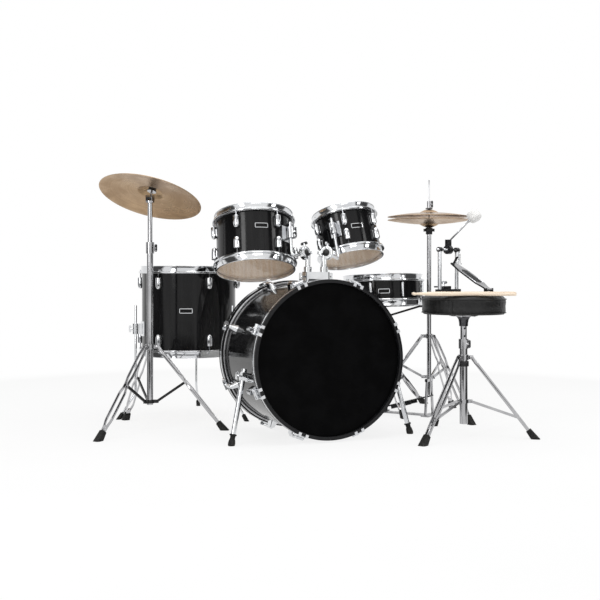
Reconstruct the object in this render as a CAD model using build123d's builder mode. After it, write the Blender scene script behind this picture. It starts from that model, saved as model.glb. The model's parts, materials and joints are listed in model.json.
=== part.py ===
from build123d import *
import os
from math import asin, atan2, cos, degrees, hypot, pi, radians, sin, sqrt

# Five piece drum kit: bass drum, two rack toms, floor tom and snare, with hi-hat, crash cymbal, throne,
# bass drum pedal and sticks. Millimetres, +Z up, floor at zero, origin under the middle of the kit.
# +X is to the right of someone who faces the front of the bass drum, +Y points towards the player.

# Fits
slip = 0.3                   # running clearance, per side
seam = 0.05                  # joint line between fixed pieces
floor_cut = 6000.0           # size of the block that trims feet level with the floor

# Heads: film pulled over the bearing edge, with a flesh ring under the hoop
film = 0.6
head_gap = 0.3
ring_width = 5.0
ring_height = 6.0

# Pressed steel hoops of toms and snare, as offsets from the shell and from its bearing edge
hoop_inside = 1.2
hoop_sheet = 2.0
hoop_above = 13.0
hoop_below = 13.0
hoop_curl = 6.5
hoop_flange = 14.0
hoop_lip = 5.0

# Tension rods and lugs of toms and snare
rod_radius = 2.6
rod_offset = 8.3             # rod axis from the shell
rod_head_radius = 4.4
rod_head_height = 2.2
rod_key_side = 5.4
rod_key_height = 6.0
rod_grip = 14.0              # rod inside its lug
lug_length = 42.0
lug_width = 19.0
lug_taper = 20.0
lug_barrel_radius = 6.5
lug_barrel_length = 26.0
lug_drop = 57.0              # lug middle below the bearing edge

# Bass drum
bass_x = -44.0
bass_y = -218.0
bass_radius = 278.0
bass_depth = 406.0
bass_wall = 8.0
bass_hoop_thickness = 13.0
bass_hoop_width = 38.0
bass_hoop_reach = 16.0       # hoop beyond the bearing edge
bass_lift = 8.0              # front of the drum raised on its spurs
bass_ring_width = 9.0
bass_claws = 8
claw_width = 40.0
claw_slot = 17.0
claw_sheet = 3.0
claw_prong = 10.0
claw_ear = 12.0
claw_length = 40.0
bass_rod_radius = 3.2
bass_rod_length = 52.0
bass_handle_length = 38.0
bass_handle_radius = 3.4
bass_lug_length = 58.0
bass_lug_width = 28.0
bass_lug_taper = 12.0
bass_lug_barrel_radius = 8.0
bass_lug_drop = 88.0

# Tom mount on the bass drum, with a swivelling post and ball clamp for each tom
mount_from_front = 145.0
mount_width = 96.0
mount_depth = 54.0
mount_rise = 44.85           # mount above the top of the shell
receiver_radius = 15.0
receiver_rise = 19.0         # receivers above the mount
post_radius = 9.5
post_offset = 33.0
post_depth = 45.0            # post inside its receiver
ball_offset = 45.0
ball_rise = 52.0             # balls above their receivers
ball_radius = 16.0
clamp_radius = 21.5
clamp_width = 18.0
wing_bolt_radius = 3.5
wing_bolt_length = 14.0
wing_span = 30.0
wing_height = 11.0
wing_sheet = 4.0

# Tom brackets and their L rods
l_rod_radius = 6.0
l_rod_offset = 28.0
l_rod_top = 42.0
l_rod_bend = 20.0
bracket_width = 44.0
bracket_height = 62.0
bracket_plate = 5.0
bracket_barrel_radius = 13.0
bracket_barrel_height = 44.0
bracket_web = 22.0

# Bass drum spurs
spur_from_front = 100.0
spur_hub_offset = 302.0
spur_hub_height = 241.0
spur_splay = 13.0            # outward lean of the spur's plane
spur_foot_forward = 33.0
spur_hub_radius = 17.0
spur_hub_width = 20.0
spur_tube_radius = 9.5
spur_boss_radius = 16.0
spur_foot_length = 42.0
spur_foot_radius = 13.0
spur_foot_taper = 3.0

# Rack toms
left_tom_radius = 149.0
left_tom_depth = 203.0
left_tom_x = -213.0
left_tom_y = -70.0
left_tom_rise = 41.0         # drum's middle above its ball
left_tom_normal = (0.059, 0.288, 0.956)
left_tom_lug_start = -73.3
right_tom_radius = 124.0
right_tom_depth = 178.0
right_tom_x = 187.0
right_tom_y = -65.0
right_tom_rise = 73.0
right_tom_normal = (-0.060, 0.313, 0.947)
right_tom_lug_start = -116.3
tom_wall = 7.0
tom_lugs = 6

# Floor tom
floor_tom_x = -355.5
floor_tom_y = 392.5
floor_tom_middle = 454.0
floor_tom_radius = 200.0
floor_tom_depth = 354.0
floor_tom_lug_start = -21.3
floor_leg_angles = (-53.0, 67.0, 180.0)
floor_leg_radius = 5.0
floor_leg_offset = 31.0
floor_leg_top = 478.0
floor_leg_bend_height = 108.0
floor_leg_bend = 45.0
floor_leg_spread = 303.0
floor_leg_foot_length = 30.0
floor_leg_foot_radius = 10.5
floor_bracket_drop = 75.0    # bracket middle below the drum's middle

# Snare drum, in its basket on the snare stand
snare_x = 512.5
snare_y = 269.5
snare_middle = 533.0
snare_radius = 174.0
snare_depth = 114.0
snare_wall = 6.0
snare_lean = 3.5             # tilt towards the player
snare_lugs = 8
snare_lug_start = -88.3
tube_lug_radius = 5.5
tube_lug_length = 60.0
tube_lug_post = 9.0
tube_lug_post_spread = 28.0
wires_width = 42.0
wires_length = 290.0
wires_thickness = 1.2
strainer_angle = 24.2
strainer_width = 30.0
strainer_height = 44.0
strainer_depth = 14.0
lever_length = 46.0
lever_width = 14.0
lever_thickness = 6.0
lever_pin_radius = 2.5
lever_cheek = 5.0

# Snare stand
snare_tube_radius = 11.0
snare_tube_bottom = 70.0
snare_collar_height = 240.0
snare_brace_height = 95.0
snare_tube_top = 350.0
snare_clamp_length = 36.0
snare_leg_start = 21.6
snare_leg_reach = 280.0
basket_tube_radius = 8.0
basket_drop = 141.0          # drum's middle to the basket's hinge
basket_hub_radius = 20.0
basket_hub_height = 16.0
basket_arm_radius = 4.5
basket_arm_bend = 12.0
basket_grip_radius = 7.5
basket_grip_length = 40.0
basket_hook_height = 44.0
basket_arm_start = 70.0

# Hi-hat
hihat_x = 606.5
hihat_y = 12.5
hihat_tube_radius = 9.5
hihat_tube_bore = 6.5
hihat_tube_bottom = 160.0
hihat_collar_height = 343.0
hihat_brace_height = 168.0
hihat_leg_start = 38.7
hihat_leg_reach = 280.0
hihat_seat_radius = 24.0
hihat_seat_neck = 14.0
hihat_seat_height = 24.0
hat_radius = 178.0
hat_bell_radius = 42.0
hat_bell_height = 15.0
hat_bow = 17.0
hat_sheet = 1.4
hat_gap = 12.0
hat_edge = 843.0             # upper side of the lower cymbal's rim
pull_rod_radius = 3.0
pull_rod_top = 1014.0
clutch_radius = 9.0
clutch_height = 34.0
felt_radius = 15.0
felt_height = 5.0
hihat_pedal_angle = 129.0
hihat_heel_distance = 212.0
hihat_heel_hinge = 24.0
hihat_toe_height = 84.0
hihat_board_width = 72.0
hihat_board_sheet = 6.0
hihat_heel_length = 58.0
hihat_share = 0.36           # where a brace meets its leg, along the leg
hihat_frame_top = 24.0
hihat_frame_foot = 41.0
hihat_frame_rod = 6.0
hihat_bridge = 12.0
hihat_base = 5.0
hihat_toe_width = 42.0
hihat_toe_over = 12.0
hihat_hinge_radius = 5.0
hihat_hinge_width = 30.0
hihat_pin_radius = 2.5
hihat_link_radius = 4.0
hihat_link_gap = 1.0

# Crash cymbal and its stand
crash_stand_x = -594.0
crash_stand_y = 80.5
crash_tube_radius = 12.5
crash_tube_bore = 10.6
crash_tube_bottom = 99.0
crash_tube_top = 735.0
crash_collar_height = 326.0
crash_brace_height = 112.0
crash_clamp_length = 44.0
crash_leg_start = -22.3
crash_leg_reach = 292.0
crash_share = 0.42           # where a brace meets its leg, along the leg
crash_upper_radius = 9.5
crash_upper_bore = 7.5
crash_upper_bottom = 480.0
tilter_height = 909.0
tilter_radius = 11.0
tilter_width = 24.0
fork_radius = 17.0
fork_base = 8.0
tilter_rod_radius = 4.0
crash_normal = (0.2872, 0.2465, 0.925)
crash_seat = 44.0            # tilter pivot to the underside of the bell
crash_radius = 203.0
crash_bell_radius = 56.0
crash_bell_height = 21.0
crash_bow = 22.0
crash_sheet = 1.6
cymbal_hole = 6.5

# Tripod members: a leg is two flat bars on a cross pin, its brace runs between them
bar_thickness = 3.0
bar_width = 12.0
bar_gap = 11.0
pin_radius = 3.0
leg_pivot = 30.0             # pivot circle of the legs
brace_pivot = 27.0           # pivot circle of the braces
brace_thickness = 6.0
brace_width = 10.0
cheek = 3.0
collar_wall = 4.0
collar_height = 20.0
foot_length = 46.0
foot_width = 24.0
foot_height = 20.0
foot_taper = -5.0

# Throne
throne_x = 472.5
throne_y = -496.5
throne_tube_radius = 15.0
throne_tube_bore = 13.2
throne_tube_bottom = 48.0
throne_tube_top = 367.0
throne_clamp_length = 36.0
throne_wing_angle = -75.0
throne_collar_height = 298.0
throne_brace_height = 133.0
throne_leg_start = -33.7
throne_leg_reach = 262.0
throne_share = 0.741
throne_post_radius = 12.5
throne_post_wall = 2.0
throne_post_bottom = 150.0
throne_post_hole = 4.0
throne_post_first = 407.0    # uppermost hole
throne_post_pitch = 29.0
throne_hole_angle = -100.0
throne_post_holes = 6
seat_radius = 161.0
seat_top = 536.0
seat_bottom = 462.0
seat_crown = 5.0
seat_shoulder = 20.0
seat_waist = 4.0             # sides drawn in along the middle
seat_welt = 1.2              # crease of the seam under the shoulder
seat_board = 10.0
seat_flange_radius = 54.0
seat_flange = 5.0
seat_cone_radius = 22.0
seat_cone_height = 42.0
seat_grip = 30.0             # post inside the seat's receiver

# Bass drum pedal standing on the seat
pedal_x = 499.5
pedal_y = -469.5
pedal_angle = 116.7
pedal_post_spread = 118.0
pedal_post_radius = 7.5
pedal_axle_height = 168.0
pedal_axle_radius = 4.5
pedal_post_forward = 80.0
pedal_base_height = 16.0
pedal_base_depth = 30.0
pedal_clamp_mouth = 16.0
pedal_clamp_depth = 34.0
pedal_clamp_width = 50.0
pedal_clamp_sheet = 6.0
pedal_heel_back = 150.0
pedal_heel_length = 58.0
pedal_heel_width = 66.0
pedal_strap_width = 36.0
pedal_strap_sheet = 4.0
pedal_board_width = 60.0
pedal_board_sheet = 6.0
pedal_board_hinge = 16.0
pedal_toe_forward = 58.0
pedal_toe_height = 116.0
pedal_strap_rise = 32.0
pedal_drive_sheet = 3.0
pedal_hinge_radius = 6.0
pedal_hinge_width = 36.0
pedal_heel_sheet = 8.0
pedal_bearing_radius = 9.5
pedal_bearing_width = 18.0
pedal_hub_radius = 17.0
pedal_hub_width = 20.0
pedal_drive_width = 14.0
beater_rod_radius = 3.2
beater_rod_length = 150.0
beater_rise = 30.0           # axle to the rod, up the clamp block
beater_block = 18.0
beater_lean = 50.0           # beater leaning back from upright
beater_radius = 25.0
beater_length = 40.0
spring_radius = 5.5
spring_wire = 1.0
spring_turns = 8
spring_pitch = 4.6
spring_drop = 14.0

# Drum sticks lying on the seat
stick_x = 404.8
stick_y = -616.6
stick_angle = 161.7
stick_length = 380.0
stick_radius = 7.2
stick_neck = 3.2
stick_tip = 5.0
stick_taper = 90.0
stick_spacing = 18.0

UP = (Align.CENTER, Align.CENTER, Align.MIN)
DOWN = (Align.CENTER, Align.CENTER, Align.MAX)
pieces = {}


def standing(x, y, turn=0.0):
    """Floor plane at a unit's place, its x axis turned about the vertical."""
    return Plane(origin=(x, y, 0), x_dir=(cos(radians(turn)), sin(radians(turn)), 0), z_dir=(0, 0, 1))


def leaning(centre, normal):
    """Plane of a drum or cymbal whose axis leans, with its x axis as near to +X as it can be."""
    axis = Vector(*normal).normalized()
    return Plane(origin=centre, x_dir=Vector(1, 0, 0) - axis * axis.X, z_dir=axis)


def section(plane):
    """Plane through an axis: radius to the right, height up."""
    return Plane(origin=plane.origin, x_dir=plane.x_dir, z_dir=plane.y_dir * -1)


def axis_of(plane):
    return Axis(plane.origin, plane.z_dir)


def bar(start, end, radius, mode=Mode.ADD):
    """Round bar between two points of the part being built."""
    line = Vector(*end) - Vector(*start)
    with Locations(Plane(origin=start, z_dir=line)):
        Cylinder(radius, line.length, align=UP, mode=mode)


def trim_to_floor():
    Box(floor_cut, floor_cut, floor_cut, align=DOWN, mode=Mode.SUBTRACT)


# Drums

def drum_shell(plane, radius, depth, wall):
    """Ply tube with a bearing edge cut inside each end."""
    half = depth / 2
    bevel = wall - 2 * film
    with BuildPart() as shell:
        with BuildSketch(section(plane)):
            with BuildLine():
                Polyline(
                    (radius, -half),
                    (radius, half),
                    (radius - wall + bevel, half),
                    (radius - wall, half - bevel),
                    (radius - wall, -half + bevel),
                    (radius - wall + bevel, -half),
                    close=True,
                )
            make_face()
        revolve(axis=axis_of(plane))
    return shell.part


def drum_heads(plane, radius, depth, seat, ring):
    """Both heads: film, collar and flesh ring, which lies under the hoop."""
    collar = radius + head_gap
    outline = [
        (0, 0),
        (collar, 0),
        (collar, -seat - ring_height),
        (radius + ring, -seat - ring_height),
        (radius + ring, -seat),
        (collar + film, -seat),
        (collar + film, film),
        (0, film),
    ]
    with BuildPart() as heads:
        for side in (1, -1):
            with BuildSketch(section(plane)):
                with BuildLine():
                    Polyline(*[(r, side * (depth / 2 + h)) for r, h in outline], close=True)
                make_face()
        revolve(axis=axis_of(plane))
    return heads.part


def pressed_hoops(plane, radius, depth, rods, start):
    """Both triple flanged hoops, with a hole in the lower flange for every tension rod."""
    inner = radius + hoop_inside
    outer = inner + hoop_sheet
    rim = radius + hoop_flange
    outline = [
        (inner, -hoop_below),
        (inner, hoop_above),
        (radius + hoop_curl, hoop_above),
        (radius + hoop_curl, hoop_above - hoop_sheet),
        (outer, hoop_above - hoop_sheet),
        (outer, -hoop_below + hoop_sheet),
        (rim, -hoop_below + hoop_sheet),
        (rim, -hoop_below - hoop_lip),
        (rim - hoop_sheet, -hoop_below - hoop_lip),
        (rim - hoop_sheet, -hoop_below),
    ]
    with BuildPart(plane) as hoops:
        for side in (1, -1):
            with BuildSketch(section(plane)):
                with BuildLine():
                    Polyline(*[(r, side * (depth / 2 + h)) for r, h in outline], close=True)
                make_face()
        revolve(axis=axis_of(plane))
        with PolarLocations(radius + rod_offset, rods, start_angle=start):
            Cylinder(rod_radius + slip, depth, mode=Mode.SUBTRACT)
    return hoops.part


def shell_lug(length, width, taper, standoff, barrel_radius, barrel_length, bore):
    """Cast lug: a long tapered foot and a round barrel that takes the tension rod, open at the top end."""
    with BuildPart() as lug:
        with BuildSketch(Plane.YZ):
            SlotOverall(length, width, rotation=90)
        extrude(amount=standoff, taper=taper)
        with Locations((standoff, 0, length / 2)):
            Cylinder(barrel_radius, barrel_length, align=DOWN)
        with Locations((standoff, 0, length / 2 - barrel_length)):
            Sphere(barrel_radius)
        with Locations((standoff, 0, length / 2)):
            Cylinder(bore, 2 * barrel_length - barrel_radius, mode=Mode.SUBTRACT)
    return lug.part


def tension_rod(length):
    """Rod below its washer head, with the square that a drum key turns."""
    with BuildPart() as rod:
        Cylinder(rod_radius, length, align=DOWN)
        Cylinder(rod_head_radius, rod_head_height, align=UP)
        with Locations((0, 0, rod_head_height)):
            Box(rod_key_side, rod_key_side, rod_key_height, align=UP)
    return rod.part


def wing_bolt():
    """Threaded stem along x with a flat two winged head."""
    with BuildPart() as bolt:
        with Locations(Plane.YZ):
            Cylinder(wing_bolt_radius, wing_bolt_length, align=UP)
        with BuildSketch(Plane.XZ):
            with Locations((wing_bolt_length, 0)):
                SlotOverall(wing_span, wing_height, rotation=90)
        extrude(amount=wing_sheet / 2, both=True)
    return bolt.part


rod_reach = lug_drop - lug_length / 2 - hoop_below + hoop_sheet + rod_grip
tom_lug = shell_lug(
    lug_length, lug_width, lug_taper, rod_offset, lug_barrel_radius, lug_barrel_length, rod_radius + slip
)
tom_rod = tension_rod(rod_reach)
wing = wing_bolt()


def shell_bracket(radius, reach, bore, height):
    """Bracket on a shell: curved plate, web and a barrel that clamps an upright rod."""
    with BuildPart() as bracket:
        Box(2 * bracket_plate, bracket_width, bracket_height)
        with Locations((reach / 2, 0, 0)):
            Box(reach, bracket_web, height)
        with Locations((reach, 0, 0)):
            Cylinder(bracket_barrel_radius, height)
            Cylinder(bore, height, mode=Mode.SUBTRACT)
        with Locations((reach + bracket_barrel_radius - wing_bolt_radius, 0, 0)):
            add(wing)
        with Locations((reach, 0, 0)):
            Cylinder(bore, 2 * height, mode=Mode.SUBTRACT)
        with Locations((-radius, 0, 0)):
            Cylinder(radius + seam, 2 * bracket_height, mode=Mode.SUBTRACT)
    return bracket.part


def l_rod(radius, ball_reach, ball_level):
    """Rod down through the bracket and out to its ball, in the tom's own upright section."""
    line = radius + l_rod_offset
    with BuildPart() as rod:
        with BuildLine() as route:
            FilletPolyline(
                (line, 0, l_rod_top), (line, 0, ball_level), (ball_reach, 0, ball_level), radius=l_rod_bend
            )
        with BuildSketch(route.line ^ 0):
            Circle(l_rod_radius)
        sweep(path=route.line)
        with Locations((ball_reach, 0, ball_level)):
            Sphere(ball_radius)
    return rod.part


def rack_tom(name, plane, radius, depth, lug_start, ball):
    """One rack tom with its bracket and L rod."""
    local = plane.to_local_coords(Vector(*ball))
    angle = degrees(atan2(local.Y, local.X))
    bracket = shell_bracket(radius, l_rod_offset, l_rod_radius + seam, bracket_barrel_height)
    rod = l_rod(radius, hypot(local.X, local.Y), local.Z)
    pieces[name + "_shell"] = drum_shell(plane, radius, depth, tom_wall)
    pieces[name + "_heads"] = drum_heads(plane, radius, depth, hoop_below, ring_width)
    pieces[name + "_hoops"] = pressed_hoops(plane, radius, depth, tom_lugs, lug_start)
    with BuildPart(plane) as fittings:
        for side, turn in ((1, 0), (-1, 180)):
            with Locations((0, 0, side * (depth / 2 - lug_drop))):
                with PolarLocations(radius + seam, tom_lugs, start_angle=lug_start):
                    add(tom_lug, rotation=(turn, 0, 0))
            with Locations((0, 0, side * (depth / 2 - hoop_below + hoop_sheet + seam))):
                with PolarLocations(radius + rod_offset, tom_lugs, start_angle=lug_start):
                    add(tom_rod, rotation=(turn, 0, 0))
        with PolarLocations(radius, 1, start_angle=angle):
            add(bracket)
        with PolarLocations(0, 1, start_angle=angle):
            add(rod)
    pieces[name + "_fittings"] = fittings.part


# Bass drum

bass_hoop_inside = bass_radius + head_gap + film + slip
bass_hoop_radius = bass_hoop_inside + bass_hoop_thickness
bass_hoop_seat = bass_hoop_width - bass_hoop_reach
bass_length = bass_depth + 2 * bass_hoop_reach
bass_tilt = asin(bass_lift / bass_length)
bass_front = bass_y - bass_length / 2
bass_height = bass_hoop_radius * cos(bass_tilt) + bass_length / 2 * sin(bass_tilt)
bass_plane = Plane(
    origin=(bass_x, bass_y, bass_height), x_dir=(1, 0, 0), z_dir=(0, -cos(bass_tilt), sin(bass_tilt))
)
bass_rod_offset = bass_hoop_radius + claw_sheet + claw_ear / 2 - bass_radius
bass_claw_start = 180.0 / bass_claws
mount_top = bass_height + bass_radius + mount_rise
receiver_top = mount_top + receiver_rise
ball_height = receiver_top + ball_rise

pieces["bass_drum_shell"] = drum_shell(bass_plane, bass_radius, bass_depth, bass_wall)
pieces["bass_drum_heads"] = drum_heads(bass_plane, bass_radius, bass_depth, bass_hoop_seat, bass_ring_width)

with BuildPart() as bass_hoops:
    for side in (1, -1):
        with BuildSketch(section(bass_plane)):
            with Locations(
                (bass_hoop_inside + bass_hoop_thickness / 2,
                 side * (bass_length / 2 - bass_hoop_width / 2))
            ):
                Rectangle(bass_hoop_thickness, bass_hoop_width)
    revolve(axis=axis_of(bass_plane))
pieces["bass_drum_hoops"] = bass_hoops.part

bass_lug = shell_lug(
    bass_lug_length, bass_lug_width, bass_lug_taper, bass_rod_offset, bass_lug_barrel_radius,
    bass_lug_length * 0.6, bass_rod_radius + slip
)
with BuildPart(bass_plane) as bass_lugs:
    for side, turn in ((1, 0), (-1, 180)):
        with Locations((0, 0, side * (bass_depth / 2 - bass_lug_drop))):
            with PolarLocations(bass_radius + seam, bass_claws, start_angle=bass_claw_start):
                add(bass_lug, rotation=(turn, 0, 0))
pieces["bass_drum_lugs"] = bass_lugs.part

# Claw hook over the hoop, seen from its side: prongs in front, ear for the rod behind.
# The hoop's face is zero.
claw_back = claw_length - claw_sheet
with BuildPart() as claw:
    with BuildSketch(Plane.XZ):
        with BuildLine():
            Polyline(
                (-claw_prong, slip),
                (-claw_prong, slip + claw_sheet),
                (slip + claw_sheet, slip + claw_sheet),
                (slip + claw_sheet, claw_sheet - claw_back),
                (slip + claw_sheet + claw_ear, claw_sheet - claw_back),
                (slip + claw_sheet + claw_ear, -claw_back),
                (slip, -claw_back),
                (slip, slip),
                close=True,
            )
        make_face()
    extrude(amount=claw_width / 2, both=True)
    with Locations((0, 0, slip + claw_sheet)):
        Box(4 * claw_prong, claw_slot, 1.4 * claw_back, mode=Mode.SUBTRACT)
    with Locations((claw_sheet + claw_ear / 2, 0, -claw_back)):
        Cylinder(bass_rod_radius + slip, 4 * claw_sheet, mode=Mode.SUBTRACT)
with BuildPart() as claw_rod:
    Cylinder(bass_rod_radius, bass_rod_length, align=DOWN)
    Cylinder(2 * bass_rod_radius, 2 * bass_rod_radius, align=UP)
    with Locations(Plane(origin=(0, 0, 2 * bass_rod_radius), z_dir=(0, 1, 0))):
        Cylinder(bass_handle_radius, bass_handle_length)
with BuildPart(bass_plane) as bass_claw_set:
    for side, turn in ((1, 0), (-1, 180)):
        with Locations((0, 0, side * bass_length / 2)):
            with PolarLocations(bass_hoop_radius, bass_claws, start_angle=bass_claw_start):
                add(claw.part, rotation=(turn, 0, 0))
        with Locations((0, 0, side * (bass_length / 2 - claw_back + claw_sheet + seam))):
            with PolarLocations(bass_radius + bass_rod_offset, bass_claws, start_angle=bass_claw_start):
                add(claw_rod.part, rotation=(turn, 0, 0))
pieces["bass_drum_claws"] = bass_claw_set.part

mount_y = bass_front + mount_from_front
spur_y = bass_front + spur_from_front


def spur_frame(side):
    """Plane at a spur's hub: its axis points outwards, its x axis from the hub to the spur's foot."""
    splay = radians(spur_splay)
    hub = Vector(bass_x + side * spur_hub_offset, spur_y, spur_hub_height)
    outward = Vector(side * cos(splay), 0, sin(splay))
    drop = Vector(side * sin(splay), 0, -cos(splay)) * (spur_hub_height / cos(splay))
    return Plane(origin=hub, x_dir=drop + Vector(0, -spur_foot_forward, 0), z_dir=outward)


spur_boss_root = spur_hub_offset - bass_radius + 4 * bass_wall
with BuildPart() as bass_brackets:
    with BuildSketch(Plane.XY.offset(mount_top)):
        with Locations((bass_x, mount_y)):
            RectangleRounded(mount_width, mount_depth, 9)
    extrude(amount=-mount_depth)
    for side in (1, -1):
        bar(
            (bass_x + side * post_offset, mount_y, mount_top - mount_depth),
            (bass_x + side * post_offset, mount_y, receiver_top),
            receiver_radius,
        )
        frame = spur_frame(side)
        with Locations(frame.offset(-spur_hub_width / 2 - slip)):
            Cylinder(spur_boss_radius, spur_boss_root, align=DOWN)
        wing_root = (bass_x + side * mount_width / 2, mount_y, mount_top - mount_depth / 3)
        with Locations(Plane(origin=wing_root, x_dir=(side, 0, 0))):
            add(wing)
    with Locations(bass_plane):
        Cylinder(bass_radius + seam, bass_depth, mode=Mode.SUBTRACT)
    for side in (1, -1):
        bar(
            (bass_x + side * post_offset, mount_y, receiver_top - post_depth - slip),
            (bass_x + side * post_offset, mount_y, receiver_top + slip),
            post_radius + slip,
            mode=Mode.SUBTRACT,
        )
pieces["bass_drum_brackets"] = bass_brackets.part


def spur(side):
    """Folding spur: hub on the boss, tube, rubber foot cut level with the floor, wing bolt outside."""
    frame = spur_frame(side)
    reach = hypot(spur_hub_height / cos(radians(spur_splay)), spur_foot_forward)
    toe = Plane(origin=frame.origin, z_dir=frame.x_dir)
    with BuildPart() as leg:
        with Locations(frame):
            Cylinder(spur_hub_radius, spur_hub_width)
        with Locations(toe.offset(-1.6 * spur_hub_radius)):
            Cylinder(spur_tube_radius, reach + 1.6 * spur_hub_radius - spur_foot_length, align=UP)
        with Locations(Plane(origin=frame.offset(spur_hub_width / 2 - seam).origin,
                             x_dir=frame.z_dir, z_dir=frame.x_dir)):
            add(wing)
        with Locations(toe.offset(reach - spur_foot_length + seam)):
            Cone(spur_foot_radius - spur_foot_taper, spur_foot_radius, 2 * spur_foot_length, align=UP)
        trim_to_floor()
    return leg.part


pieces["left_spur"] = spur(-1)
pieces["right_spur"] = spur(1)

# Rack toms on their arms

left_ball = (bass_x - ball_offset, mount_y, ball_height)
right_ball = (bass_x + ball_offset, mount_y, ball_height)
left_tom_plane = leaning((left_tom_x, left_tom_y, ball_height + left_tom_rise), left_tom_normal)
right_tom_plane = leaning((right_tom_x, right_tom_y, ball_height + right_tom_rise), right_tom_normal)


def ball_direction(plane, ball):
    """Direction in which the L rod leaves its ball, towards the tom."""
    local = plane.to_local_coords(Vector(*ball))
    return (plane.x_dir * local.X + plane.y_dir * local.Y).normalized() * -1


def tom_arm(side, ball, plane):
    """Post that turns in its receiver and carries the split ring round the ball."""
    direction = ball_direction(plane, ball)
    ring_plane = Plane(origin=ball, z_dir=direction)
    post = bass_x + side * post_offset
    with BuildPart() as arm:
        bar((post, mount_y, receiver_top - post_depth), (post, mount_y, ball_height), post_radius)
        with Locations(ring_plane):
            Cylinder(clamp_radius, clamp_width)
        bar(ball, (ball[0], ball[1], ball_height + clamp_radius + wing_bolt_radius), 2 * wing_bolt_radius)
        wing_root = (ball[0], ball[1], ball_height + clamp_radius)
        with Locations(Plane(origin=wing_root, x_dir=(0, 0, 1), z_dir=direction)):
            add(wing)
        with Locations(ring_plane):
            Sphere(ball_radius + slip, mode=Mode.SUBTRACT)
            Cylinder(l_rod_radius + ball_radius / 2, 4 * clamp_width, mode=Mode.SUBTRACT)
    return arm.part


pieces["left_tom_arm"] = tom_arm(-1, left_ball, left_tom_plane)
pieces["right_tom_arm"] = tom_arm(1, right_ball, right_tom_plane)
rack_tom("left_tom", left_tom_plane, left_tom_radius, left_tom_depth, left_tom_lug_start, left_ball)
rack_tom("right_tom", right_tom_plane, right_tom_radius, right_tom_depth, right_tom_lug_start, right_ball)

# Floor tom

floor_tom_plane = Plane(origin=(floor_tom_x, floor_tom_y, floor_tom_middle))
floor_leg_line = floor_tom_radius + floor_leg_offset
pieces["floor_tom_shell"] = drum_shell(floor_tom_plane, floor_tom_radius, floor_tom_depth, tom_wall)
pieces["floor_tom_heads"] = drum_heads(
    floor_tom_plane, floor_tom_radius, floor_tom_depth, hoop_below, ring_width
)
pieces["floor_tom_hoops"] = pressed_hoops(
    floor_tom_plane, floor_tom_radius, floor_tom_depth, tom_lugs, floor_tom_lug_start
)
floor_bracket = shell_bracket(
    floor_tom_radius, floor_leg_offset, floor_leg_radius + slip, bracket_barrel_height
)
with BuildPart(floor_tom_plane) as floor_fittings:
    for side, turn in ((1, 0), (-1, 180)):
        with Locations((0, 0, side * (floor_tom_depth / 2 - lug_drop))):
            with PolarLocations(floor_tom_radius + seam, tom_lugs, start_angle=floor_tom_lug_start):
                add(tom_lug, rotation=(turn, 0, 0))
        with Locations((0, 0, side * (floor_tom_depth / 2 - hoop_below + hoop_sheet + seam))):
            with PolarLocations(floor_tom_radius + rod_offset, tom_lugs, start_angle=floor_tom_lug_start):
                add(tom_rod, rotation=(turn, 0, 0))
    for angle in floor_leg_angles:
        with Locations((0, 0, -floor_bracket_drop)):
            with PolarLocations(floor_tom_radius, 1, start_angle=angle):
                add(floor_bracket)
pieces["floor_tom_fittings"] = floor_fittings.part

# One leg in its own upright section, then three round the drum
leg_toe = Vector(floor_leg_spread - floor_leg_line, 0, -floor_leg_bend_height)
leg_toe_length = leg_toe.length - floor_leg_foot_length
leg_toe_end = Vector(floor_leg_line, 0, floor_leg_bend_height) + leg_toe.normalized() * leg_toe_length
with BuildPart() as floor_leg:
    with BuildLine() as leg_route:
        FilletPolyline(
            (floor_leg_line, 0, floor_leg_top),
            (floor_leg_line, 0, floor_leg_bend_height),
            leg_toe_end,
            radius=floor_leg_bend,
        )
    with BuildSketch(leg_route.line ^ 0):
        Circle(floor_leg_radius)
    sweep(path=leg_route.line)
    with Locations(Plane(origin=leg_toe_end + leg_toe.normalized() * seam, z_dir=leg_toe)):
        Cone(0.8 * floor_leg_foot_radius, floor_leg_foot_radius, 2 * floor_leg_foot_length, align=UP)
    trim_to_floor()
with BuildPart(standing(floor_tom_x, floor_tom_y)) as floor_legs:
    for angle in floor_leg_angles:
        with PolarLocations(0, 1, start_angle=angle):
            add(floor_leg.part)
pieces["floor_tom_legs"] = floor_legs.part

# Tripods


def radial(place, angle, radius, height):
    """Point at a radius and height round a unit's upright axis."""
    return Vector(place[0] + radius * cos(radians(angle)), place[1] + radius * sin(radians(angle)), height)


def member_plane(place, angle, start, end):
    """Plane of a leg or brace: x along the member from start to end, z across it."""
    origin = radial(place, angle, *start)
    along = radial(place, angle, *end) - origin
    across = Vector(-sin(radians(angle)), cos(radians(angle)), 0)
    return Plane(origin=origin, x_dir=along, z_dir=across)


def tripod_leg(plane, length):
    """Two flat bars on a cross pin, closed by a block at the rubber foot."""
    bars = length - foot_length
    half = bar_gap / 2
    with BuildPart() as leg:
        for side in (1, -1):
            with BuildSketch(plane.offset(side * (half + bar_thickness / 2))):
                with Locations((bars / 2, 0)):
                    SlotOverall(bars + bar_width, bar_width)
            extrude(amount=bar_thickness / 2, both=True)
        with Locations(plane):
            Cylinder(pin_radius, bar_gap + 2 * bar_thickness)
        with BuildSketch(plane):
            with Locations((bars - bar_width / 2, 0)):
                Rectangle(2 * bar_width, bar_width)
        extrude(amount=half, both=True)
        foot_plane = Plane(
            origin=plane.from_local_coords(Vector(bars + bar_width / 2 + seam, 0, 0)),
            x_dir=plane.z_dir,
            z_dir=plane.x_dir,
        )
        with BuildSketch(foot_plane):
            RectangleRounded(foot_width, foot_height, foot_height / 4)
        extrude(amount=2 * foot_length, taper=foot_taper)
        trim_to_floor()
    return leg.part


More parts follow.
